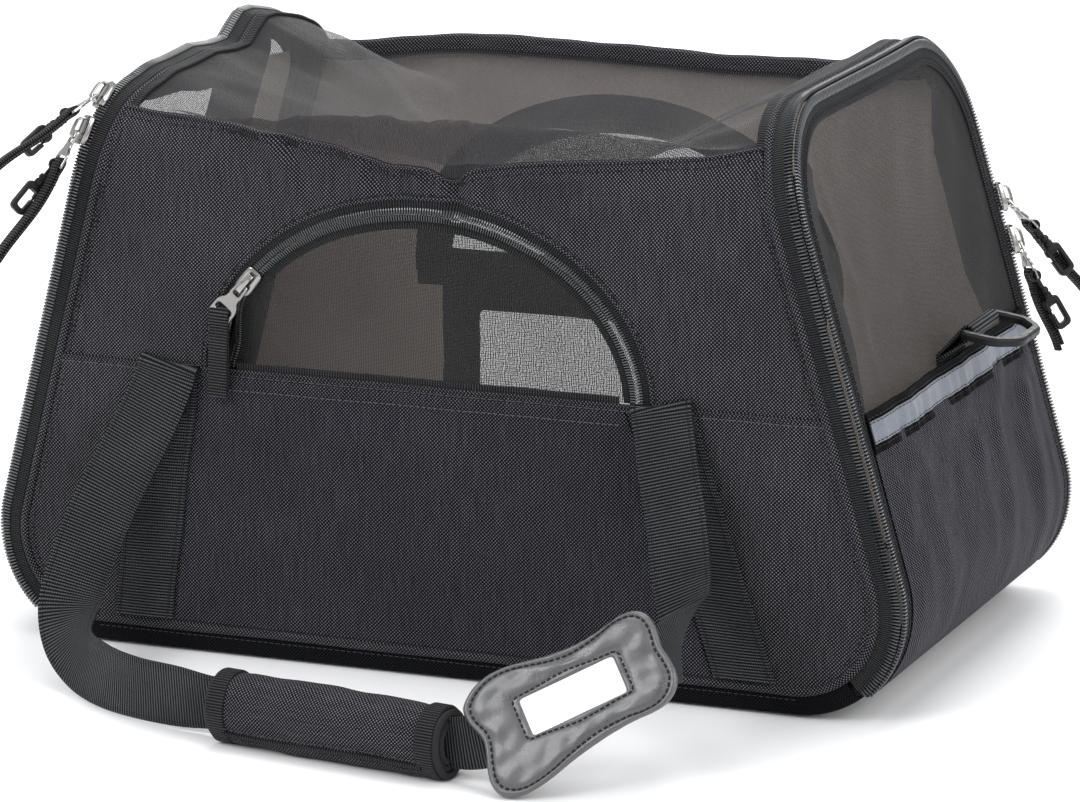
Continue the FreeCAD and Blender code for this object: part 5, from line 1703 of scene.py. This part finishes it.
# x, radius of the clip's swivel barrel
BARREL = np.array([(7.2, 0.02), (7.2, 1.6), (7.8, 2.4), (9.6, 2.6), (10.0, 2.1), (10.6, 2.1),
                   (11.0, 2.7), (13.2, 2.7), (13.8, 2.2), (13.8, 0.02)])


def snap_clip(prefix, axes):
    mesh = Mesh()
    eye_y, hook_y, ridge_y = 3.7, 4.6, 6.7
    # eye, stem, swivel barrel
    ring = circle(2.5, 28)
    mesh.band(axes(points(ring[:, 0], eye_y, ring[:, 1])), axes.y,
              rounded_rect(1.05, 0.7, 0.4, 2), closed=True)
    stem = [(x, eye_y, 0) for x in (2.4, 5, 8.4)]
    mesh.band(axes(stem), axes.y, rounded_rect(1.0, 1.15, 0.5, 2))
    turned = circle(1.0, 14)
    rings = points(BARREL[:, :1], eye_y + BARREL[:, 1:] * turned[:, 0],
                   BARREL[:, 1:] * turned[:, 1])
    mesh.add(axes(rings), grid(len(BARREL), 14, close=True))
    # hook, open over a short arc
    outer = round_corners([(13.2, -4.6), (30.8, -4.6), (31.2, 4.4), (13.2, 4.6)], 3.0)
    inner = round_corners([(17.0, -2.4), (28.0, -2.3), (28.2, 2.1), (17.0, 2.3)], 1.4)
    rings = plate_rings(outer, inner, (22.5, 0), half=2.0, bevel=0.55, count=90)
    turn = np.arctan2(rings[:, 0, 1], rings[:, 0, 0] - 22.5)
    gap = (turn > 1.9) & (turn < 2.35)
    missing = int(gap.sum())
    order = np.roll(np.arange(90), -(int(np.argmax(gap)) + missing))[:90 - missing]
    hook = rings[order][..., [0, 2, 1]] + (0, hook_y, 0)
    mesh.tube(axes(hook), flip=True, flip_caps=True)
    # gate tongue and thumb ridges
    gate = [(16.8, hook_y, 3.3), (19, hook_y, 3.2), (21.4, hook_y, 3.0)]
    mesh.band(axes(gate), axes.y, rounded_rect(0.9, 0.5, 0.3, 2))
    for i in range(4):
        x = 14.4 + i * 0.9
        ridge = [(x, ridge_y, -2.6), (x, ridge_y, 2.6)]
        mesh.band(axes(ridge), axes.x, rounded_rect(0.28, 0.28, 0.15, 2))
    mesh.build(prefix + "_clip_moulded", prefix + "_clip", prefix + "_snap_clip",
               "black_plastic", PLASTIC, angle=32)


def hanging(pin, along, out, degrees):
    """Axes of a part hung back from a slider, lifted off the zip by an angle."""
    a = radians(degrees)
    direction = along * (-cos(a)) + out * sin(a)
    return Local(pin, direction, np.cross(direction, np.cross(out, along)))


def right_zip(z):
    """Place, run and outward direction on the rear leg of the right zip."""
    return slope_at(z, HALF_DEPTH), UP_RIGHT, OUT_RIGHT + (0, 1.0, 0)


def left_zip(degrees):
    """The same on the front top corner of the left zip."""
    a = radians(degrees)
    radial = np.array([0, -cos(a), 0]) + UP_LEFT * sin(a)
    along = np.array([0, sin(a), 0]) + UP_LEFT * cos(a)
    place = slope_at(CORNER_Z, -CORNER_Y, -1) + radial * R_TOP
    return place, along, np.array([-COS, 0, SIN]) + radial


EYE_REACH = 18.6                        # from a tab's pin to where things hang in its slot
# name, place, tab's lift, webbing's length and bend, clip's lift beyond the tab's
END_PULLS = [("right_upper", right_zip(206.0), 30, 62, 5.0, -8),
             ("right_lower", right_zip(184.0), 8, 46, 1.5, 8),
             ("left_upper", left_zip(48.0), 22, 62, 4.0, -8),
             ("left_lower", left_zip(26.0), 8, 62, -2.5, 10)]


def end_pull(prefix, place, lift, length, bend, clip_lift):
    origin, along, out = place
    along = unit(along)
    out = unit(out)
    out = unit(out - along * (out @ along))
    origin = slack(origin)
    slider(prefix + "_slider_body", prefix + "_slider", Local(origin, along, out), 1.5, 10.0)
    pin = origin + along * -3.0 + out * 5.2
    axes = hanging(pin, along, out, lift)
    pull_tab(prefix, axes, 6.5, 4.9)
    strap_pull(prefix, axes, -1.7, 3.5, length, bend, 1.2)
    snap_clip(prefix, hanging(pin + axes.x * EYE_REACH, along, out, lift + clip_lift))


def front_pull():
    along = unit([ARCH_A * SLIDER_RISE, 0, ARCH_B * SLIDER_SPAN])
    out = np.array([0, -1.0, 0])
    on_cloth = np.array([ARCH_X - ARCH_A * SLIDER_SPAN, -HALF_DEPTH, DOOR_SLIDER_Z])
    slider("front_slider_body", "front_slider", Local(on_cloth + out * 1.8, along, out), 1.7, 9.0)
    axes = hanging(on_cloth + along * -3.0 + out * 7.0, along, out, 6)
    pull_tab("front", axes, 6.3, 4.8)
    eye = axes.origin + axes.x * EYE_REACH
    down = unit([-0.05, 0, -1.0])
    strap_pull("front", Local(eye - down * 17.8, down, out), 0.0, 5.1, 45.5, 1.2, 0.6)


for row in END_PULLS:
    end_pull(*row)
front_pull()


# ---- carry handles --------------------------------------------------------------------
def handle(name, body, part, stations, phase):
    """Webbing through rows of x, y, z, its width direction, its width."""
    mesh = Mesh()
    thick = 1.7
    knots = np.array(stations, float)
    knots[:, 3:6] = unit(knots[:, 3:6])
    line = resample(catmull(knots, 12), 1.0)
    centre, side, width = line[:, :3], line[:, 3:6], line[:, 6]
    along = unit(np.gradient(centre, axis=0))
    side = unit(side - along * (side * along).sum(-1, keepdims=True))
    normal = np.cross(along, side)
    length = run(centre)
    share = np.linspace(-1, 1, 17)
    cup = (0.35 * np.sin(length / 37 + phase) + 0.2 * np.sin(length / 13 + 2 * phase))[:, None]
    cup = cup * (share[None] ** 2 - 0.33)
    edge = thick / 2 * (1 - 0.35 * np.abs(share) ** 8)
    flat = centre[:, None] + side[:, None] * (share[:, None] * width[:, None, None] / 2)
    top = flat + normal[:, None] * (cup + edge)[..., None]
    bottom = flat + normal[:, None] * (cup - edge)[..., None]
    across = np.concatenate([share * 16, share[::-1] * 16 + 50])
    mesh.tube(np.concatenate([top, bottom[:, ::-1]], 1),
              points(across[None], length[:, None]), flip=True)
    for hand in (-1, 1):
        for face in (1, -1):
            path = (centre + side * ((width / 2 - 2.2) * hand)[:, None]
                    + normal * (cup[:, 1] + face * thick / 2)[:, None])
            mesh.stitch(path, normal * face, 1, radius=0.2, pitch=3.2, length=2.2, lift=0.05)
    mesh.build(name, body, part, "webbing", WEB, THREAD_BLACK, angle=50)


def tag_axes():
    """Axes of the name tag: z out of its face, x along it."""
    tilt, azimuth, roll = radians(29.6), radians(7.6), radians(29.3)
    normal = np.array([sin(azimuth) * cos(tilt), -cos(azimuth) * cos(tilt), sin(tilt)])
    level = unit(np.cross([0, 0, 1.0], normal))
    up = unit(np.cross(normal, level))
    return Local([130.2, -262.0, 44.9], level * cos(roll) + up * sin(roll), normal)


TAG = tag_axes()


def on_tag(x, y, z):
    return TAG(points(x, y, z))


def tag_station(x, z, width):
    return (*on_tag(x, 0, z), *TAG.y, width)


# x, y, z, width direction x, y, z, width
FRONT_HANDLE = [
    (-142.6, -130.6, 146.5, 1, 0, -.14, 32), (-142.0, -130.7, 150.6, 1, 0, -.14, 32),
    (-141.9, -132.0, 152.2, 1, 0, -.15, 32), (-142.4, -133.6, 151.2, 1, 0, -.16, 32),
    (-144.4, -135.4, 144.0, 1, 0, -.2, 32), (-152.3, -140.6, 123.9, 1, .05, -.3, 32),
    (-162.0, -147.0, 102.7, 1, .1, -.38, 32), (-170.3, -153.0, 84.0, 1, .2, -.42, 32),
    (-176.0, -161.0, 66.0, 1, .5, -.4, 32), (-179.0, -171.0, 49.0, 1, .9, -.1, 31.5),
    (-178.0, -182.0, 36.0, 1, 1, .5, 31.5), (-171.0, -196.0, 26.0, .7, .8, 1, 31.5),
    (-158.0, -211.0, 19.0, .3, .5, 1.5, 31.5), (-136.0, -228.0, 17.2, .1, .25, 1.5, 31.5),
    (-110.0, -240.0, 17.0, 0, 0, 1, 31.5), (-84.0, -246.5, 17.2, 0, -.05, 1, 31),
    (-66.0, -250.0, 17.4, 0, -.1, 1, 28), (-50.0, -252.7, 17.5, 0, 0, 1, 25),
    (5.0, -260.7, 17.5, 0, 0, 1, 25), (58.0, -268.5, 17.5, 0, 0, 1, 25),
    (68.5, -270.2, 17.7, 0, 0, 1, 25), (82.0, -272.2, 19.8, -.15, .1, 1, 26),
    (93.9, -272.9, 24.0, -.48, .3, .82, 27),
    tag_station(-30, -3.4, 28), tag_station(0, -3.4, 28), tag_station(30, -3.4, 28),
    tag_station(43, -5.5, 29),
    (165.0, -219.0, 60.5, -.25, .3, 1, 30), (161.8, -206.0, 59.3, 0, .2, 1, 30.5),
    (158.6, -194.0, 58.6, .26, .1, .95, 31), (155.0, -183.0, 59.6, .5, .05, .85, 31.5),
    (151.5, -174.0, 62.8, .7, 0, .65, 32), (148.0, -167.0, 69.6, .86, 0, .45, 32),
    (144.5, -161.0, 78.0, 1, 0, .32, 32), (138.1, -151.0, 100.8, 1, 0, .25, 32),
    (131.1, -143.0, 124.1, 1, 0, .25, 32), (125.6, -135.6, 144.0, 1, 0, .25, 32),
    (123.9, -133.4, 151.0, 1, 0, .24, 32), (123.4, -132.0, 152.2, 1, 0, .24, 32),
    (123.6, -130.7, 150.6, 1, 0, .24, 32), (124.8, -130.6, 146.5, 1, 0, .24, 32)]
# the left half; the right half mirrors it
BACK_HANDLE = [
    (-132.6, 130.6, 146.5, 1, 0, .2, 32), (-132.4, 130.7, 150.6, 1, 0, .2, 32),
    (-132.4, 132.0, 152.2, 1, 0, .2, 32), (-132.8, 133.6, 151.0, 1, 0, .2, 32),
    (-146.0, 138.6, 115.0, 1, 0, .35, 32), (-158.0, 148.0, 80.0, 1, -.1, .35, 32),
    (-165.0, 161.0, 50.0, 1, -.4, .2, 32), (-163.0, 177.0, 31.0, 1, -.8, .5, 31.5),
    (-150.0, 195.0, 21.0, .6, -.6, 1.2, 31.5), (-128.0, 211.0, 17.4, .2, -.2, 1.4, 31.5),
    (-98.0, 225.0, 17.0, 0, 0, 1, 31.5), (-55.0, 236.0, 17.0, 0, 0, 1, 31.5),
    (0.0, 240.0, 17.0, 0, 0, 1, 31.5)]
BACK_HANDLE += [(-x, y, z, -side_x, side_y, side_z, width)
                for x, y, z, side_x, side_y, side_z, width in BACK_HANDLE[-2::-1]]

handle("front_handle_strap", "front_handle", "front_handle_webbing", FRONT_HANDLE, phase=1.3)
handle("back_handle_strap", "back_handle", "back_handle_webbing", BACK_HANDLE, phase=2.1)

# padded grip, a sleeve round the front handle; in its axes y points outwards and z up
GRIP_START, GRIP_END = np.array([-57.0, -251.6, 17.5]), np.array([68.0, -270.0, 17.5])
GRIP_LENGTH = float(np.linalg.norm(GRIP_END - GRIP_START))
GRIP = Local(GRIP_START, GRIP_END - GRIP_START, (0, 0, 1))
GRIP_SIDES, GRIP_ROWS = 84, 96
GRIP_TURN = np.arange(GRIP_SIDES) * 2 * pi / GRIP_SIDES
GRIP_COS, GRIP_SIN = np.cos(GRIP_TURN), np.sin(GRIP_TURN)


def grip_sleeve():
    """Fullest between its ends, with a lapped edge. Returns lengths round its middle."""
    x = np.linspace(0, GRIP_LENGTH, GRIP_ROWS)
    full = 0.985 + 0.035 * np.sin(pi * x / GRIP_LENGTH) + 0.008 * np.sin(x / 7.0)
    full *= 1 - 0.10 * np.exp(-x / 5.0) - 0.10 * np.exp(-(GRIP_LENGTH - x) / 5.0)
    x, full = x[:, None], full[:, None]
    from_lap = (GRIP_TURN - 3.75) % (2 * pi)
    lap = 1 + 0.05 * ramp(0, 0.5, from_lap) * (1 - ramp(0.5, 5.6, from_lap))
    bumps = ripple(x, GRIP_TURN[None] * 16, seed=77, height=0.35, scale=22)
    sleeve = GRIP(points(x, GRIP_COS * (14.8 * lap * full + bumps),
                         GRIP_SIN * (17.2 * lap * full + bumps)))
    sleeve[..., 2] = np.maximum(sleeve[..., 2], 0.3)       # it lies on the ground
    around = run(sleeve[GRIP_ROWS // 2])
    mesh = Mesh()
    mesh.add(sleeve, grid(GRIP_ROWS, GRIP_SIDES, close=True), points(around[None], x))
    mesh.build("grip_sleeve", "front_handle", "front_grip_wrap", "oxford", OXFORD, angle=0)
    return around


def grip_binding(around):
    mesh = Mesh()
    outline = rounded_rect(5.0, 1.25, 1.0, 4)
    tape_x, tape_out = outline[:, :1], outline[:, 1:]
    out = unit(GRIP.z * (GRIP_SIN / 17.0)[:, None] + GRIP.y * (GRIP_COS / 14.6)[:, None])
    uv = points(outline[None, :, 0], around[:, None])
    quads = grid(GRIP_SIDES, len(outline), True, True)
    closed = np.arange(GRIP_SIDES + 1) % GRIP_SIDES
    for end, sign in ((0, -1), (GRIP_LENGTH, 1)):
        # binding rolled over the end, and the layered padding seen inside it
        path = GRIP(points(end - sign * 3.6, 14.6 * GRIP_COS, 17.0 * GRIP_SIN))
        wobble = 1 + 0.06 * np.sin(5 * GRIP_TURN + sign) + 0.06 * np.sin(11 * GRIP_TURN)
        mesh.add(path[:, None] + GRIP.x * tape_x
                 + out[:, None] * (tape_out * wobble[:, None, None]), quads, uv)
        for layer, (share, shift) in enumerate(((0.93, 0.6), (0.72, -0.6), (0.52, 0.2))):
            wavy = 1 + 0.05 * np.sin(3 * GRIP_TURN + layer)
            path = GRIP(points(end + sign * shift, 14.2 * share * GRIP_COS,
                               16.6 * share * GRIP_SIN * wavy))
            mesh.add(path[:, None] + GRIP.x * tape_x * 0.45
                     + out[:, None] * tape_out * 1.25, quads, uv, 1)
        path = GRIP(points(end - sign * 7.9, 15.2 * GRIP_COS, 17.6 * GRIP_SIN))
        mesh.stitch(path[closed], out[closed], 2, radius=0.28, pitch=3.0, length=2.2)
    # flap's edge along the sleeve
    x = np.linspace(6, GRIP_LENGTH - 6, 120)
    turn = 3.72 + 0.04 * np.sin(x / 19)
    path = GRIP(points(x, 15.5 * np.cos(turn), 17.9 * np.sin(turn)))
    normal = unit(GRIP.z * np.sin(turn)[:, None] + GRIP.y * np.cos(turn)[:, None])
    side = np.cross(GRIP.x, normal)
    mesh.sweep(path, side, normal, rounded_rect(1.3, 0.9, 0.6, 3))
    for shift in (3.6, -3.6):
        mesh.stitch(path + side * shift - normal * 0.35, normal, 2, radius=0.26)
    mesh.build("grip_binding", "front_handle", None, "oxford", BIND, LINING_DARK, THREAD)


grip_binding(grip_sleeve())

# ---- bone-shaped name tag -------------------------------------------------------------
# x, y round the bone
BONE = np.array([
    (-51.2, 10.4), (-47.9, -0.6), (-51.2, -15.8), (-52.1, -21.7), (-50.6, -27.6), (-45.9, -31.6),
    (-40.0, -33.3), (-33.0, -33.2), (-23.3, -31.6), (-14.0, -29.0), (1.4, -25.8), (13.0, -24.2),
    (23.0, -23.6), (31.0, -23.8), (38.0, -23.0), (43.8, -20.2), (47.9, -15.4), (49.5, -9.9),
    (49.1, -3.4), (47.9, 3.6), (48.5, 9.7), (48.8, 14.8), (47.5, 20.7), (43.2, 25.0),
    (35.3, 26.1), (26.0, 24.3), (15.1, 22.9), (4.6, 22.9), (-5.4, 24.0), (-14.2, 25.6),
    (-23.9, 27.2), (-33.2, 27.3), (-40.3, 25.4), (-46.2, 22.0), (-50.8, 17.0)])
TAG_SIDES = 264
# where each row of the face lies, and its height: "edge" and "window" rows by distance
# from the outer edge and from the window, "middle" rows by their share of the way between
TAG_ROWS = [
    ("edge", 0.0, -0.9), ("edge", 0.25, 0.2), ("edge", 0.9, 1.1), ("edge", 1.7, 1.5),
    ("edge", 2.6, 1.45), ("edge", 3.3, 0.95), ("edge", 3.9, 0.75), ("edge", 4.6, 1.15),
    ("edge", 6.0, 1.6), ("middle", 0.30, 1.9), ("middle", 0.40, 2.0), ("middle", 0.5, 2.05),
    ("middle", 0.62, 1.95), ("middle", 0.74, 1.75), ("window", 4.2, 1.35), ("window", 3.4, 0.95),
    ("window", 2.8, 0.9), ("window", 2.0, 1.2), ("window", 1.1, 1.25), ("window", 0.4, 1.0),
    ("window", 0.0, 0.5), ("window", -0.2, 0.15)]


def tag_loops():
    """Outer edge of the tag, and the way in from it to the window."""
    knots = np.concatenate([BONE[-2:], BONE, BONE[:3]])
    bone = catmull(knots, 10)[20:20 + len(BONE) * 10]
    opening = round_corners([(-24.7, -9.6), (24.7, -9.6), (24.7, 9.6), (-24.7, 9.6)], 2.0, 8)
    edge = polar_loop(bone, np.zeros(2), TAG_SIDES)
    return edge, polar_loop(opening, np.zeros(2), TAG_SIDES) - edge


TAG_EDGE, TAG_INWARD = tag_loops()
TAG_WIDTH = np.linalg.norm(TAG_INWARD, axis=1, keepdims=True)


def tag_row(kind, value, height):
    """One crumpled row of the leather, in the tag's axes."""
    if kind == "edge":
        share = value / TAG_WIDTH
    elif kind == "window":
        share = 1 - value / TAG_WIDTH
    else:
        low, high = 6.4 / TAG_WIDTH, 1 - 4.6 / TAG_WIDTH
        share = low + (high - low) * (value - 0.26) / 0.52
    x, y = (TAG_EDGE + TAG_INWARD * np.clip(share, 0, 1.02)).T
    crumple = ripple(x, y, seed=5, height=0.42, scale=17) * (1.0 if kind == "middle" else 0.45)
    return points(x, y, height + crumple * (0.2 if value == 0 else 1))


def name_tag():
    mesh = Mesh()
    back = [points(*(TAG_EDGE * share).T, -1.9) for share in (0.02, 0.3, 0.6, 0.85)]
    for inset, height in ((1.2, -1.9), (0.4, -1.7)):
        back.append(points(*(TAG_EDGE + TAG_INWARD * (inset / TAG_WIDTH)).T, height))
    rows = np.stack(back + [tag_row(*row) for row in TAG_ROWS], 1)
    mesh.add(TAG(rows), grid(TAG_SIDES, rows.shape[1], close_rows=True), rows[..., :2])
    closed = np.arange(TAG_SIDES + 1) % TAG_SIDES
    for row, pitch, length in ((("edge", 3.8, 0.95), 3.1, 2.4), (("window", 3.0, 1.05), 3.0, 2.3)):
        mesh.stitch(TAG(tag_row(*row)[closed]), TAG.z, 1, radius=0.42, pitch=pitch,
                    length=length)
    # keeper band on the back: y, z
    keeper = resample([(-19, -1.9), (-18.6, -4.4), (-16.8, -6.0), (-8, -6.35), (8, -6.35),
                       (16.8, -6.0), (18.6, -4.4), (19, -1.9)], 1.0)
    mesh.band(on_tag(0.0, keeper[:, 0], keeper[:, 1]), TAG.x, rounded_rect(15.5, 0.6, 0.4, 2))
    mesh.build("name_tag_leather", "front_handle", "name_tag", "leather", LEATHER,
               THREAD_BLACK, angle=50)


def tag_insert(name, part, frame_slot, material, x, y, height, thick):
    mesh = Mesh()
    mesh.sheet(on_tag(x, y, height), thick, points(x, y), TAG.z, inner=0)
    mesh.build(name, "front_handle", part, frame_slot, material)


name_tag()
insert_x, insert_y = np.linspace(-26.4, 26.4, 40)[:, None], np.linspace(-11.2, 11.2, 18)[None]
card_z = -0.25 + 0.25 * np.cos(insert_x / 22) * np.cos(insert_y / 14)
tag_insert("name_card_paper", "name_card", "card", CARD, insert_x, insert_y, card_z, 0.35)
film_z = 0.42 + 0.18 * np.sin(insert_x / 9) * np.sin(insert_y / 6 + 1)
tag_insert("tag_window_film", "tag_window", "clear", CLEAR, insert_x, insert_y, film_z, 0.3)

# ---- camera, floor, light (metres) ----------------------------------------------------
scene = bpy.context.scene


def add_camera():
    data = bpy.data.cameras.new("camera")
    data.sensor_width = 36.0
    data.lens = 197.2
    data.clip_end = 50
    obj = bpy.data.objects.new("camera", data)
    scene.collection.objects.link(obj)
    right = Vector((0.91805, 0.39596, -0.01978)).normalized()
    forward = Vector((-0.38785, 0.88667, -0.25179)).normalized()
    up = right.cross(forward).normalized()
    turn = Matrix((right, up, -forward)).transposed()
    place = Matrix.Translation((1.17859, -2.69038, 0.87597))
    obj.matrix_world = place @ turn.to_4x4()
    scene.camera = obj


def add_floor(radius=9, sides=40, z=-0.0004):
    mat = Material("floor")
    colour = mat.mix(mat.noise(mat.object, scale=3.0), (0.86, 0.86, 0.865), (0.88, 0.88, 0.88))
    material = mat.finish(mat.bsdf(Base_Color=colour, Roughness=0.75))
    data = bpy.data.meshes.new("floor")
    turns = np.linspace(0, 2 * pi, sides, endpoint=False)
    data.from_pydata([(radius * cos(a), radius * sin(a), z) for a in turns], [],
                     [tuple(range(sides))])
    data.materials.append(material)
    obj = bpy.data.objects.new("floor", data)
    scene.collection.objects.link(obj)


def add_world(colour, strength):
    world = bpy.data.worlds.new("studio")
    scene.world = world
    world.use_nodes = True
    background = world.node_tree.nodes["Background"]
    background.inputs[0].default_value = colour
    background.inputs[1].default_value = strength


def area_light(name, place, target, size, power):
    data = bpy.data.lights.new(name, "AREA")
    data.shape = "RECTANGLE"
    data.size = data.size_y = size
    data.energy = power
    obj = bpy.data.objects.new(name, data)
    scene.collection.objects.link(obj)
    obj.location = place
    obj.rotation_euler = (Vector(target) - Vector(place)).to_track_quat("-Z", "Y").to_euler()


add_camera()
add_floor()
add_world(colour=(0.97, 0.98, 1.0, 1), strength=0.85)
area_light("key", place=(-0.9, -1.9, 1.7), target=(0, 0, 0.12), size=1.3, power=34)
area_light("fill", place=(2.1, -0.6, 1.3), target=(0.1, 0, 0.12), size=1.4, power=26)
area_light("top", place=(0.0, 0.5, 2.2), target=(0, 0, 0.1), size=1.6, power=30)
area_light("rim", place=(-0.4, 2.0, 1.2), target=(0, 0, 0.15), size=1.4, power=18)
scene.view_settings.view_transform = "Standard"
